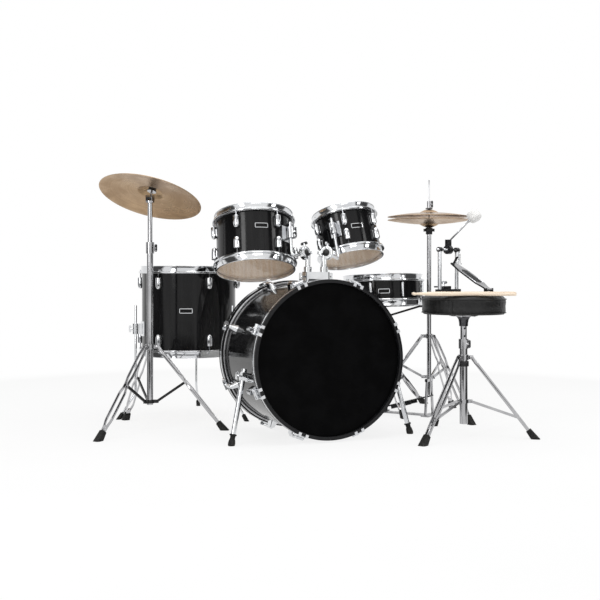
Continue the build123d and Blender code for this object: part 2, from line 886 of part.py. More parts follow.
def tripod_brace(plane, length):
    """Flat strut on a cross pin, its far end free between the bars of its leg."""
    with BuildPart() as brace:
        with BuildSketch(plane):
            with Locations((length / 2, 0)):
                SlotOverall(length + brace_width, brace_width)
        extrude(amount=brace_thickness / 2, both=True)
        with Locations(plane):
            Cylinder(pin_radius, brace_thickness + 2 * cheek + 2 * slip)
    return brace.part


def leg_collar(place, height, tube, bore, start):
    """Ring with three tabs that the legs straddle."""
    ring = tube + slip + collar_wall
    tab = leg_pivot + 2 * pin_radius - tube
    with BuildPart(Plane(origin=(place[0], place[1], height))) as collar:
        Cylinder(ring, collar_height)
        with PolarLocations(tube + tab / 2, 3, start_angle=start):
            Box(tab, bar_gap - 2 * slip, collar_height * 0.7)
        Cylinder(bore, collar_height, mode=Mode.SUBTRACT)
        with PolarLocations(leg_pivot, 3, start_angle=start):
            Cylinder(pin_radius + slip, bar_gap, rotation=(90, 0, 0), mode=Mode.SUBTRACT)
    return collar.part


def brace_collar(place, height, tube, bore, start):
    """Ring with three pairs of cheeks, one pair round the end of each brace."""
    ring = tube + slip + collar_wall
    tab = brace_pivot + 2 * pin_radius - tube
    spread = brace_thickness / 2 + slip + cheek / 2
    with BuildPart(Plane(origin=(place[0], place[1], height))) as collar:
        Cylinder(ring, collar_height * 0.7)
        with PolarLocations(tube + tab / 2, 3, start_angle=start):
            with Locations((0, spread, 0), (0, -spread, 0)):
                Box(tab, cheek, collar_height * 0.6)
        Cylinder(bore, collar_height, mode=Mode.SUBTRACT)
        with PolarLocations(brace_pivot, 3, start_angle=start):
            Cylinder(pin_radius + slip, 4 * cheek + brace_thickness, rotation=(90, 0, 0), mode=Mode.SUBTRACT)
            Cylinder(
                brace_width / 2 + slip, brace_thickness + 2 * slip, rotation=(90, 0, 0), mode=Mode.SUBTRACT
            )
    return collar.part


def tripod(place, start, reach, collar, brace, share):
    """Legs, braces and the planes that they turn on. A brace meets its leg at a share of the leg's length."""
    meet = (leg_pivot + share * (reach - leg_pivot), collar * (1 - share))
    legs = []
    braces = []
    for index in range(3):
        angle = start + 120 * index
        leg = member_plane(place, angle, (leg_pivot, collar), (reach, 0))
        strut = member_plane(place, angle, (brace_pivot, brace), meet)
        legs.append(tripod_leg(leg, hypot(reach - leg_pivot, collar)))
        braces.append(tripod_brace(strut, hypot(meet[0] - brace_pivot, meet[1] - brace)))
    return legs, braces


def stand_tube(place, bottom, top, radius, bore):
    with BuildPart(Plane(origin=(place[0], place[1], bottom))) as tube:
        Cylinder(radius, top - bottom, align=UP)
        Cylinder(bore, top - bottom, align=UP, mode=Mode.SUBTRACT)
    return tube.part


def height_clamp(place, top, length, radius, bore, angle):
    """Clamp sleeve at a tube's top, with its wing bolt."""
    with BuildPart(Plane(origin=(place[0], place[1], top))) as clamp:
        Cylinder(radius, length, align=DOWN)
        with Locations((0, 0, -length / 2)):
            with PolarLocations(radius - wing_bolt_radius, 1, start_angle=angle):
                add(wing)
        Cylinder(bore, length, align=DOWN, mode=Mode.SUBTRACT)
    return clamp.part


# Crash cymbal stand: legs slide up on their collar, braces turn on the tube's lower end

crash_place = (crash_stand_x, crash_stand_y)
crash_legs, crash_braces = tripod(
    crash_place, crash_leg_start, crash_leg_reach, crash_collar_height, crash_brace_height, crash_share
)
for index in range(3):
    pieces[f"cymbal_stand_leg_{index + 1}"] = crash_legs[index]
    pieces[f"cymbal_stand_brace_{index + 1}"] = crash_braces[index]
pieces["cymbal_stand_leg_collar"] = leg_collar(
    crash_place, crash_collar_height, crash_tube_radius, crash_tube_radius + slip, crash_leg_start
)
crash_clamp = height_clamp(
    crash_place, crash_tube_top, crash_clamp_length, crash_tube_radius + collar_wall,
    crash_upper_radius + slip, -crash_leg_start
)
with BuildPart() as crash_base:
    add(stand_tube(crash_place, crash_tube_bottom, crash_tube_top - crash_clamp_length / 2,
                   crash_tube_radius, crash_tube_bore))
    add(crash_clamp)
    add(brace_collar(crash_place, crash_brace_height, crash_tube_radius, crash_tube_bore, crash_leg_start))
pieces["cymbal_stand_base_tube"] = crash_base.part

def hinge_fork(point, axis):
    """Fork on a tube's top: two cheeks beside a barrel that turns on the axis through the point."""
    spread = tilter_width / 2 + slip + cheek / 2
    base = Plane(origin=point - Vector(0, 0, tilter_radius + slip), x_dir=axis, z_dir=(0, 0, 1))
    with BuildPart(base) as fork:
        Cylinder(fork_radius, fork_base, align=DOWN)
        with Locations((spread, 0, 0), (-spread, 0, 0)):
            Box(cheek, 1.6 * tilter_radius, 2 * tilter_radius, align=UP)
        with Locations((0, 0, tilter_radius + slip)):
            Cylinder(pin_radius + slip, 4 * tilter_width, rotation=(0, 90, 0), mode=Mode.SUBTRACT)
    return fork.part


def hinge_barrel(point, axis):
    """Barrel and pin that turn between the cheeks of a fork."""
    with BuildPart(Plane(origin=point, z_dir=axis)) as barrel:
        Cylinder(tilter_radius, tilter_width)
        Cylinder(pin_radius, tilter_width + 2 * slip + 2 * cheek)
    return barrel.part


def cymbal(plane, radius, bell_radius, bell_height, bow, sheet):
    """Thin bowed plate with a raised bell and a centre hole. The upper side of its rim lies in the plane."""
    crest = (cymbal_hole + bell_radius) / 2
    middle = (bell_radius + radius) / 2
    rise = bell_height / bell_radius ** 2
    upper = [
        (cymbal_hole, bow + bell_height - rise * cymbal_hole ** 2),
        (crest, bow + bell_height - rise * crest ** 2),
        (bell_radius, bow),
        (middle, 0.64 * bow),
        (radius, 0),
    ]
    lower = [(r, h - sheet) for r, h in upper]
    with BuildPart() as plate:
        with BuildSketch(section(plane)):
            with BuildLine():
                ThreePointArc(upper[0], upper[1], upper[2])
                ThreePointArc(upper[2], upper[3], upper[4])
                Line(upper[4], lower[4])
                ThreePointArc(lower[4], lower[3], lower[2])
                ThreePointArc(lower[2], lower[1], lower[0])
                Line(lower[0], upper[0])
            make_face()
        revolve(axis=axis_of(plane))
    return plate.part


tilter_point = Vector(crash_stand_x, crash_stand_y, tilter_height)
crash_lean = leaning(tilter_point, crash_normal)
tilt_axis = Vector(-crash_normal[1], crash_normal[0], 0).normalized()
crash_upper_top = tilter_height - tilter_radius - slip - fork_base
crash_upper_tube = stand_tube(
    crash_place, crash_upper_bottom, crash_upper_top, crash_upper_radius, crash_upper_bore
)
crash_fork = hinge_fork(tilter_point, tilt_axis)
with BuildPart() as crash_upper:
    add(crash_upper_tube)
    add(crash_fork)
pieces["cymbal_stand_upper_tube"] = crash_upper.part

bell_sag = crash_bell_height * (felt_radius / crash_bell_radius) ** 2
lower_felt = crash_seat - bell_sag - 2 * slip
upper_felt = crash_seat + crash_sheet + slip
crash_barrel = hinge_barrel(tilter_point, tilt_axis)
with BuildPart() as tilter:
    add(crash_barrel)
    with Locations(crash_lean):
        Cylinder(tilter_rod_radius, upper_felt + 4 * felt_height, align=UP)
    with Locations(crash_lean.offset(lower_felt - 3 * felt_height)):
        Cylinder(felt_radius + cheek, felt_height, align=UP)
    with Locations(crash_lean.offset(lower_felt - 2 * felt_height)):
        Cylinder(felt_radius, 2 * felt_height, align=UP)
    with Locations(crash_lean.offset(lower_felt)):
        Cylinder(cymbal_hole - 2 * slip, upper_felt - lower_felt, align=UP)
    with Locations(crash_lean.offset(upper_felt)):
        Cylinder(felt_radius, 2 * felt_height, align=UP)
    with Locations(
        Plane(origin=crash_lean.offset(upper_felt + 2 * felt_height).origin,
              x_dir=crash_lean.z_dir, z_dir=crash_lean.x_dir)
    ):
        add(wing)
pieces["cymbal_tilter"] = tilter.part

crash_rim = crash_seat + crash_sheet - crash_bow - crash_bell_height
crash_plane = crash_lean.offset(crash_rim)
pieces["crash_cymbal"] = cymbal(
    crash_plane, crash_radius, crash_bell_radius, crash_bell_height, crash_bow, crash_sheet
)

# Snare drum

snare_plane = leaning(
    (snare_x, snare_y, snare_middle), (0, sin(radians(snare_lean)), cos(radians(snare_lean)))
)
pieces["snare_shell"] = drum_shell(snare_plane, snare_radius, snare_depth, snare_wall)
pieces["snare_heads"] = drum_heads(snare_plane, snare_radius, snare_depth, hoop_below, ring_width)
pieces["snare_hoops"] = pressed_hoops(snare_plane, snare_radius, snare_depth, snare_lugs, snare_lug_start)

with BuildPart() as tube_lug:
    with Locations((rod_offset, 0, 0)):
        Cylinder(tube_lug_radius, tube_lug_length)
    with Locations((rod_offset / 2, 0, tube_lug_post_spread / 2),
                   (rod_offset / 2, 0, -tube_lug_post_spread / 2)):
        Box(rod_offset, tube_lug_post, tube_lug_post)
    with Locations((rod_offset, 0, tube_lug_length / 2), (rod_offset, 0, -tube_lug_length / 2)):
        Cylinder(rod_radius + slip, 2 * rod_grip + 2 * slip, mode=Mode.SUBTRACT)
snare_rod = tension_rod(snare_depth / 2 - hoop_below + hoop_sheet - tube_lug_length / 2 + rod_grip)

lever_line = strainer_depth + 2 * lever_pin_radius
lever_level = strainer_height / 4
with BuildPart() as strainer:
    Box(2 * strainer_depth, strainer_width, strainer_height)
    with Locations((strainer_depth, lever_width / 2 + slip + lever_cheek / 2, lever_level),
                   (strainer_depth, -lever_width / 2 - slip - lever_cheek / 2, lever_level)):
        Box(8 * lever_pin_radius, lever_cheek, 4 * lever_pin_radius)
    with Locations((lever_line, 0, lever_level)):
        Cylinder(lever_pin_radius + slip, 2 * strainer_width, rotation=(90, 0, 0), mode=Mode.SUBTRACT)
    with Locations((-snare_radius, 0, 0)):
        Cylinder(snare_radius + seam, 2 * strainer_height, mode=Mode.SUBTRACT)
with BuildPart() as butt:
    Box(2 * strainer_depth, strainer_width, strainer_height / 2)
    with Locations((-snare_radius, 0, 0)):
        Cylinder(snare_radius + seam, 2 * strainer_height, mode=Mode.SUBTRACT)
with BuildPart(snare_plane) as snare_fittings:
    with PolarLocations(snare_radius + seam, snare_lugs, start_angle=snare_lug_start):
        add(tube_lug.part)
    for side, turn in ((1, 0), (-1, 180)):
        with Locations((0, 0, side * (snare_depth / 2 - hoop_below + hoop_sheet + seam))):
            with PolarLocations(snare_radius + rod_offset, snare_lugs, start_angle=snare_lug_start):
                add(snare_rod, rotation=(turn, 0, 0))
    with PolarLocations(snare_radius, 1, start_angle=strainer_angle):
        add(strainer.part)
    with PolarLocations(snare_radius, 1, start_angle=strainer_angle + 180):
        add(butt.part)
    with Locations((0, 0, -snare_depth / 2 - film - slip)):
        with PolarLocations(0, 1, start_angle=strainer_angle):
            Box(wires_length, wires_width, wires_thickness, align=DOWN)
pieces["snare_fittings"] = snare_fittings.part

with BuildPart() as lever:
    Cylinder(lever_pin_radius, lever_width + 2 * slip + 2 * lever_cheek, rotation=(90, 0, 0))
    Cylinder(lever_thickness / 2, lever_width, rotation=(90, 0, 0))
    Box(lever_thickness, lever_width, lever_length, align=DOWN)
    with Locations((0, 0, -lever_length)):
        Cylinder(lever_thickness / 2, lever_width, rotation=(90, 0, 0))
with BuildPart(snare_plane) as snare_lever:
    with Locations((0, 0, lever_level)):
        with PolarLocations(snare_radius + lever_line, 1, start_angle=strainer_angle):
            add(lever.part)
pieces["snare_throw_off_lever"] = snare_lever.part

# Basket: three arms that pass under the lower hoop and hook up outside it, with rubber grips

basket_axis = Vector(1, 0, 0)
basket_point = snare_plane.origin - snare_plane.z_dir * basket_drop
snare_place = (basket_point.X, basket_point.Y)
arm_level = -snare_depth / 2 - hoop_above - slip - basket_arm_radius
hook_line = snare_radius + hoop_flange + basket_grip_radius + slip
hub_foot = tilter_radius + 2 * cheek - basket_drop
with BuildPart() as basket_arm:
    with BuildLine() as arm_route:
        FilletPolyline(
            (basket_hub_radius / 2, 0, hub_foot + basket_hub_height / 2),
            (snare_radius, 0, arm_level),
            (hook_line, 0, arm_level),
            (hook_line, 0, arm_level + basket_hook_height),
            radius=basket_arm_bend,
        )
    with BuildSketch(arm_route.line ^ 0):
        Circle(basket_arm_radius)
    sweep(path=arm_route.line)
with BuildPart(Plane(origin=(hook_line, 0, arm_level + basket_hook_height + slip))) as grip:
    Cylinder(basket_grip_radius, basket_grip_length - basket_arm_bend, align=DOWN)
    Cylinder(basket_arm_radius + seam, 2 * basket_grip_length, mode=Mode.SUBTRACT)
basket_barrel = hinge_barrel((0, 0, -basket_drop), basket_axis)
with BuildPart(snare_plane) as basket:
    add(basket_barrel)
    with Locations((0, 0, -basket_drop)):
        Cylinder(basket_tube_radius, hub_foot + basket_drop, align=UP)
    with Locations((0, 0, hub_foot)):
        Cylinder(basket_hub_radius, basket_hub_height, align=UP)
    with PolarLocations(0, 3, start_angle=basket_arm_start):
        add(basket_arm.part)
        add(grip.part)
pieces["snare_basket"] = basket.part

snare_legs, snare_braces = tripod(
    snare_place, snare_leg_start, snare_leg_reach, snare_collar_height, snare_brace_height, crash_share
)
basket_bore = basket_tube_radius + slip
snare_post_top = basket_point.Z - tilter_radius - slip - fork_base
snare_solids = [
    stand_tube(snare_place, snare_tube_bottom, snare_tube_top, snare_tube_radius, basket_bore),
    height_clamp(snare_place, snare_tube_top, snare_clamp_length, snare_tube_radius + collar_wall,
                 basket_bore, snare_leg_start - 60),
    leg_collar(snare_place, snare_collar_height, snare_tube_radius, basket_bore, snare_leg_start),
    brace_collar(snare_place, snare_brace_height, snare_tube_radius, basket_bore, snare_leg_start),
    hinge_fork(basket_point, basket_axis),
    *snare_legs,
    *snare_braces,
]
with BuildPart() as snare_stand:
    for solid in snare_solids:
        add(solid)
    bar(
        (*snare_place, snare_tube_bottom + snare_clamp_length), (*snare_place, snare_post_top),
        basket_tube_radius,
    )
pieces["snare_stand"] = snare_stand.part

# Hi-hat: cymbals, stand with its frame, footboard, and the rod that the footboard pulls down

hihat_place = (hihat_x, hihat_y)
hihat_pedal = standing(hihat_x, hihat_y, hihat_pedal_angle)
hat_top_plane = Plane(origin=(hihat_x, hihat_y, hat_edge + hat_gap + hat_sheet))
hat_low_plane = Plane(origin=(hihat_x, hihat_y, hat_edge - hat_sheet), x_dir=(1, 0, 0), z_dir=(0, 0, -1))
pieces["hi_hat_top_cymbal"] = cymbal(
    hat_top_plane, hat_radius, hat_bell_radius, hat_bell_height, hat_bow, hat_sheet
)
pieces["hi_hat_bottom_cymbal"] = cymbal(
    hat_low_plane, hat_radius, hat_bell_radius, hat_bell_height, hat_bow, hat_sheet
)

hihat_cup = hat_edge - hat_sheet - hat_bow - hat_bell_height - slip - felt_height
hihat_neck = hihat_cup - hihat_seat_height
hihat_hinge = hihat_pedal.from_local_coords(Vector(hihat_heel_distance, 0, hihat_heel_hinge))
board_rise = hihat_toe_height - hihat_heel_hinge
board_length = hypot(hihat_heel_distance, board_rise)
board_slope = atan2(board_rise, hihat_heel_distance)
hihat_board = Plane(
    origin=hihat_hinge,
    x_dir=hihat_pedal.x_dir * -cos(board_slope) + Vector(0, 0, sin(board_slope)),
    z_dir=hihat_pedal.x_dir * sin(board_slope) + Vector(0, 0, cos(board_slope)),
)
hihat_legs, hihat_braces = tripod(
    hihat_place, hihat_leg_start, hihat_leg_reach, hihat_collar_height, hihat_brace_height, hihat_share
)
hihat_solids = [
    leg_collar(hihat_place, hihat_collar_height, hihat_tube_radius, hihat_tube_bore, hihat_leg_start),
    brace_collar(hihat_place, hihat_brace_height, hihat_tube_radius, hihat_tube_bore, hihat_leg_start),
    *hihat_legs,
    *hihat_braces,
]
with BuildPart(standing(hihat_x, hihat_y)) as hihat_column:
    with Locations((0, 0, hihat_tube_bottom)):
        Cylinder(hihat_tube_radius, hihat_cup - hihat_tube_bottom, align=UP)
    with Locations((0, 0, hihat_cup)):
        Cylinder(hihat_seat_radius, hihat_seat_height / 2, align=DOWN)
        Cylinder(hihat_seat_neck, hihat_seat_height, align=DOWN)
        Cylinder(felt_radius, felt_height, align=UP)
    with Locations((0, 0, hihat_tube_bottom)):
        Cylinder(hihat_tube_bore, hihat_neck - hihat_tube_bottom, align=UP, mode=Mode.SUBTRACT)
        Cylinder(pull_rod_radius + slip, pull_rod_top, align=UP, mode=Mode.SUBTRACT)
frame_top = hihat_tube_bottom - hihat_bridge
with BuildPart(hihat_pedal) as hihat_frame:
    with Locations((0, 0, hihat_tube_bottom - seam)):
        Box(hihat_bridge, 2 * hihat_frame_top + 3 * hihat_frame_rod, hihat_bridge - 2 * seam, align=DOWN)
        Cylinder(hihat_tube_bore, 4 * hihat_bridge, mode=Mode.SUBTRACT)
    for side in (1, -1):
        bar(
            (0, side * hihat_frame_top, frame_top - 1), (0, side * hihat_frame_foot, hihat_base + 1),
            hihat_frame_rod,
        )
    Box(6 * hihat_frame_rod, 2 * hihat_frame_foot + 3 * hihat_frame_rod, hihat_base, align=UP)
    with Locations((hihat_heel_distance / 2, 0, 0)):
        Box(hihat_heel_distance, hihat_toe_width, hihat_base, align=UP)
    with Locations((hihat_heel_distance + hihat_heel_length / 2, 0, 0)):
        Box(hihat_heel_length + 4 * hihat_hinge_radius, hihat_board_width, hihat_base + cheek, align=UP)
    for side in (1, -1):
        with Locations((hihat_heel_distance, side * (hihat_hinge_width / 2 + slip + cheek), 0)):
            Box(3 * hihat_hinge_radius, 2 * cheek, hihat_heel_hinge + 1.5 * hihat_hinge_radius, align=UP)
    with Locations((hihat_heel_distance, 0, hihat_heel_hinge)):
        Cylinder(hihat_pin_radius + slip, 2 * hihat_board_width, rotation=(90, 0, 0), mode=Mode.SUBTRACT)
with BuildPart() as hihat_stand:
    add(hihat_column.part)
    for solid in hihat_solids:
        add(solid)
    add(hihat_frame.part)
pieces["hi_hat_stand"] = hihat_stand.part

with BuildPart(hihat_board) as hihat_footboard:
    with BuildSketch(hihat_board.offset(-hihat_board_sheet / 2)):
        with BuildLine():
            Polyline(
                (0, -hihat_hinge_width / 2),
                (3 * hihat_hinge_radius, -hihat_hinge_width / 2),
                (0.22 * board_length, -hihat_board_width / 2),
                (0.66 * board_length, -hihat_board_width / 2),
                (0.82 * board_length, -hihat_toe_width / 2),
                (board_length + hihat_toe_over, -hihat_toe_width / 2),
                (board_length + hihat_toe_over, hihat_toe_width / 2),
                (0.82 * board_length, hihat_toe_width / 2),
                (0.66 * board_length, hihat_board_width / 2),
                (0.22 * board_length, hihat_board_width / 2),
                (3 * hihat_hinge_radius, hihat_hinge_width / 2),
                (0, hihat_hinge_width / 2),
                close=True,
            )
        make_face()
    extrude(amount=hihat_board_sheet)
    Cylinder(hihat_hinge_radius, hihat_hinge_width, rotation=(90, 0, 0))
    Cylinder(hihat_pin_radius, hihat_hinge_width + 2 * slip + 4 * cheek, rotation=(90, 0, 0))
pieces["hi_hat_footboard"] = hihat_footboard.part

link_foot = hihat_toe_height + hihat_board_sheet / 2 / cos(board_slope) + hihat_link_gap
link_foot = link_foot + hihat_link_radius * sin(board_slope) / cos(board_slope)
hat_crown = hat_edge + hat_gap + hat_sheet + hat_bow + hat_bell_height
hat_under = hat_crown - hat_sheet - hat_bell_height * (felt_radius / hat_bell_radius) ** 2 - 2 * slip
with BuildPart(standing(hihat_x, hihat_y)) as pull_rod:
    with Locations((0, 0, link_foot)):
        Cylinder(pull_rod_radius, pull_rod_top - link_foot, align=UP)
        Cylinder(hihat_link_radius, hihat_tube_bottom - link_foot, align=UP)
    with Locations((0, 0, hat_under)):
        Cylinder(felt_radius, felt_height, align=DOWN)
        Cylinder(clutch_radius, 2 * felt_height, align=DOWN)
        Cylinder(cymbal_hole - 2 * slip, hat_crown - hat_under + felt_height, align=UP)
    with Locations((0, 0, hat_crown + slip)):
        Cylinder(felt_radius, felt_height, align=UP)
        Cylinder(clutch_radius, clutch_height, align=UP)
    with Locations((0, 0, hat_crown + clutch_height - wing_height)):
        with PolarLocations(clutch_radius - wing_bolt_radius, 1, start_angle=-crash_leg_start):
            add(wing)
pieces["hi_hat_pull_rod"] = pull_rod.part

# Throne: legs turn on a fixed collar, braces on a sliding one, post with holes, padded seat that swivels

throne_place = (throne_x, throne_y)
throne_legs, throne_braces = tripod(
    throne_place, throne_leg_start, throne_leg_reach, throne_collar_height, throne_brace_height,
    throne_share
)
for index in range(3):
    pieces[f"throne_leg_{index + 1}"] = throne_legs[index]
    pieces[f"throne_brace_{index + 1}"] = throne_braces[index]
throne_solids = [
    stand_tube(throne_place, throne_tube_bottom, throne_tube_top, throne_tube_radius, throne_tube_bore),
    leg_collar(throne_place, throne_collar_height, throne_tube_radius, throne_tube_bore, throne_leg_start),
    height_clamp(throne_place, throne_tube_top, throne_clamp_length, throne_tube_radius + collar_wall,
                 throne_post_radius + slip, throne_wing_angle),
]
with BuildPart() as throne_base:
    for solid in throne_solids:
        add(solid)
pieces["throne_base_tube"] = throne_base.part
pieces["throne_brace_collar"] = brace_collar(
    throne_place, throne_brace_height, throne_tube_radius, throne_tube_radius + slip, throne_leg_start
)

receiver_foot = seat_bottom - seat_flange - seat_cone_height
throne_post_top = receiver_foot + seat_grip
throne_post_tube = stand_tube(
    throne_place, throne_post_bottom, throne_post_top, throne_post_radius,
    throne_post_radius - throne_post_wall
)
with BuildPart() as throne_post:
    add(throne_post_tube)
    for index in range(throne_post_holes):
        hole = Vector(*throne_place, throne_post_first - index * throne_post_pitch)
        along = radial((0, 0), throne_hole_angle, 2 * throne_post_radius, 0)
        bar(hole - along, hole + along, throne_post_hole, mode=Mode.SUBTRACT)
pieces["throne_post"] = throne_post.part

# Cushion section: crowned top, rounded shoulder, sides drawn in at the waist, tucked under the board
seat_side = seat_top - seat_crown - seat_shoulder
seat_flat = seat_radius - seat_shoulder
half_turn = cos(radians(45))
crown_radius = (seat_flat ** 2 + seat_crown ** 2) / (2 * seat_crown)
with BuildPart() as seat:
    with BuildSketch(section(standing(throne_x, throne_y))):
        with BuildLine():
            Line((0, seat_top), (0, seat_bottom))
            Line((0, seat_bottom), (seat_radius - seat_board, seat_bottom))
            ThreePointArc(
                (seat_radius - seat_board, seat_bottom),
                (seat_radius - seat_board * (1 - half_turn), seat_bottom + seat_board * (1 - half_turn)),
                (seat_radius, seat_bottom + seat_board),
            )
            ThreePointArc(
                (seat_radius, seat_bottom + seat_board),
                (seat_radius - seat_waist, (seat_bottom + seat_board + seat_side) / 2),
                (seat_radius, seat_side),
            )
            Line((seat_radius, seat_side), (seat_radius - seat_welt, seat_side + seat_welt))
            Line((seat_radius - seat_welt, seat_side + seat_welt), (seat_radius, seat_side + 2 * seat_welt))
            ThreePointArc(
                (seat_radius, seat_side + 2 * seat_welt),
                (seat_flat + seat_shoulder * half_turn, seat_side + seat_shoulder * half_turn),
                (seat_flat, seat_side + seat_shoulder),
            )
            ThreePointArc(
                (seat_flat, seat_side + seat_shoulder),
                (seat_flat / 2, seat_top - crown_radius + sqrt(crown_radius ** 2 - (seat_flat / 2) ** 2)),
                (0, seat_top),
            )
        make_face()
    revolve(axis=axis_of(standing(throne_x, throne_y)))
    with Locations(Plane(origin=(throne_x, throne_y, seat_bottom - seam))):
        Cylinder(seat_flange_radius, seat_flange, align=DOWN)
    with Locations(Plane(origin=(throne_x, throne_y, seat_bottom - seat_flange - seam))):
        Cone(throne_post_radius + collar_wall, seat_cone_radius, seat_cone_height, align=DOWN)
    with Locations(Plane(origin=(throne_x, throne_y, receiver_foot - seat_flange))):
        Cylinder(throne_post_radius + slip, seat_grip + seat_flange + slip, align=UP, mode=Mode.SUBTRACT)
pieces["throne_seat"] = seat.part

# Bass drum pedal, standing on the seat. Its x axis points to the hoop clamp.

pedal_plane = Plane(
    origin=(pedal_x, pedal_y, seat_top + slip),
    x_dir=(cos(radians(pedal_angle)), sin(radians(pedal_angle)), 0),
    z_dir=(0, 0, 1),
)
post_line = pedal_post_spread / 2
base_front = pedal_post_forward + pedal_base_depth / 2
heel_front = pedal_heel_length - pedal_heel_back
hinge_back = pedal_heel_back - pedal_heel_length + pedal_hinge_radius
jaw_level = pedal_clamp_sheet + pedal_clamp_mouth
spring_line = post_line + pedal_post_radius + 2 * spring_radius
ear_line = spring_line + spring_radius + 1.5 * spring_wire
spring_top = pedal_axle_height - spring_drop
spring_foot = spring_top - spring_turns * spring_pitch


def curl(angle):
    """Point and direction of the spring's wire after a turn by an angle."""
    climb = spring_pitch / (2 * pi)
    point = Vector(spring_radius * cos(angle), spring_radius * sin(angle), climb * angle)
    along = Vector(-spring_radius * sin(angle), spring_radius * cos(angle), climb)
    return point, along.normalized()


def biarc_joint(start, start_way, end, end_way):
    """Point and direction where two arcs meet that join both ends without a kink."""
    chord = end - start
    ways = start_way + end_way
    bend = 2 * (1 - start_way.dot(end_way))
    reach = (sqrt(chord.dot(ways) ** 2 + bend * chord.dot(chord)) - chord.dot(ways)) / bend
    first = start + start_way * reach
    second = end - end_way * reach
    return (first + second) * 0.5, (second - first).normalized()


with BuildPart() as spring:
    with BuildLine() as spring_route:
        point, way = curl(0)
        Line(point - way * 2 * spring_wire, point)
        for quarter in range(4 * spring_turns):
            next_point, next_way = curl((quarter + 1) * pi / 2)
            joint, joint_way = biarc_joint(point, way, next_point, next_way)
            TangentArc(point, joint, tangent=way)
            TangentArc(joint, next_point, tangent=joint_way)
            point, way = next_point, next_way
        Line(point, point + way * 2 * spring_wire)
    with BuildSketch(spring_route.line ^ 0):
        Circle(spring_wire)
    sweep(path=spring_route.line)
spring_samples = [curl(pi / 18 * step)[0] for step in range(36 * spring_turns + 1)]
spring_gap = min(
    (spring_samples[later] - spring_samples[step]).length
    for step in range(len(spring_samples))
    for later in range(step + 18, min(step + 56, len(spring_samples)))
)
print("spring gap", round(spring_gap - 2 * spring_wire, 2), "mm, volume", round(spring.part.volume, 1))

with BuildPart(pedal_plane) as pedal_frame:
    with Locations((pedal_post_forward, 0, 0)):
        Box(pedal_base_depth, pedal_post_spread + 2 * pedal_post_radius, pedal_base_height, align=UP)
    with Locations((base_front - pedal_clamp_sheet, 0, pedal_base_height)):
        Box(2 * pedal_clamp_sheet, pedal_clamp_width, jaw_level - pedal_base_height - seam, align=UP)
    with Locations((base_front + pedal_clamp_depth / 2, 0, 0)):
        Box(pedal_clamp_depth, pedal_clamp_width, pedal_clamp_sheet, align=UP)
    with Locations((base_front + pedal_clamp_depth / 2 - pedal_clamp_sheet, 0, jaw_level)):
        Box(pedal_clamp_depth + 2 * pedal_clamp_sheet, pedal_clamp_width, pedal_clamp_sheet, align=UP)
    with Locations(
        Plane(origin=(base_front + pedal_clamp_sheet, 0, jaw_level + pedal_clamp_sheet),
              x_dir=(0, 0, 1), z_dir=(1, 0, 0))
    ):
        add(wing)
    with Locations((pedal_post_forward, post_line, pedal_base_height + seam),
                   (pedal_post_forward, -post_line, pedal_base_height + seam)):
        Cylinder(pedal_post_radius, pedal_axle_height - pedal_base_height, align=UP)
    with Locations((pedal_post_forward, post_line, pedal_axle_height),
                   (pedal_post_forward, -post_line, pedal_axle_height)):
        Cylinder(pedal_bearing_radius, pedal_bearing_width, rotation=(90, 0, 0))
    with Locations((pedal_post_forward, 0, pedal_axle_height)):
        Cylinder(pedal_axle_radius + slip, 2 * pedal_post_spread, rotation=(90, 0, 0), mode=Mode.SUBTRACT)
    with Locations(((heel_front + base_front - pedal_base_depth) / 2, 0, 0)):
        Box(
            base_front - pedal_base_depth - heel_front - 2 * seam, pedal_strap_width, pedal_strap_sheet,
            align=UP,
        )
    with Locations((heel_front - pedal_heel_length / 2, 0, 0)):
        Box(pedal_heel_length - 2 * seam, pedal_heel_width, pedal_heel_sheet, align=UP)
    for side in (1, -1):
        with Locations((-hinge_back, side * (pedal_hinge_width / 2 + slip + cheek), 0)):
            Box(2 * pedal_hinge_radius, 2 * cheek, pedal_board_hinge + pedal_hinge_radius, align=UP)
    with Locations((-hinge_back, 0, pedal_board_hinge)):
        Cylinder(pin_radius + slip, 2 * pedal_heel_width, rotation=(90, 0, 0), mode=Mode.SUBTRACT)
    with Locations((pedal_post_forward, (-post_line - ear_line) / 2, spring_foot - 1.3 * spring_wire)):
        Box(2 * (spring_radius + 1.5 * spring_wire), ear_line - post_line, 4 * spring_wire, align=DOWN)
    with Locations((pedal_post_forward, -spring_line, spring_foot)):
        add(spring.part)
pieces["pedal_frame"] = pedal_frame.part

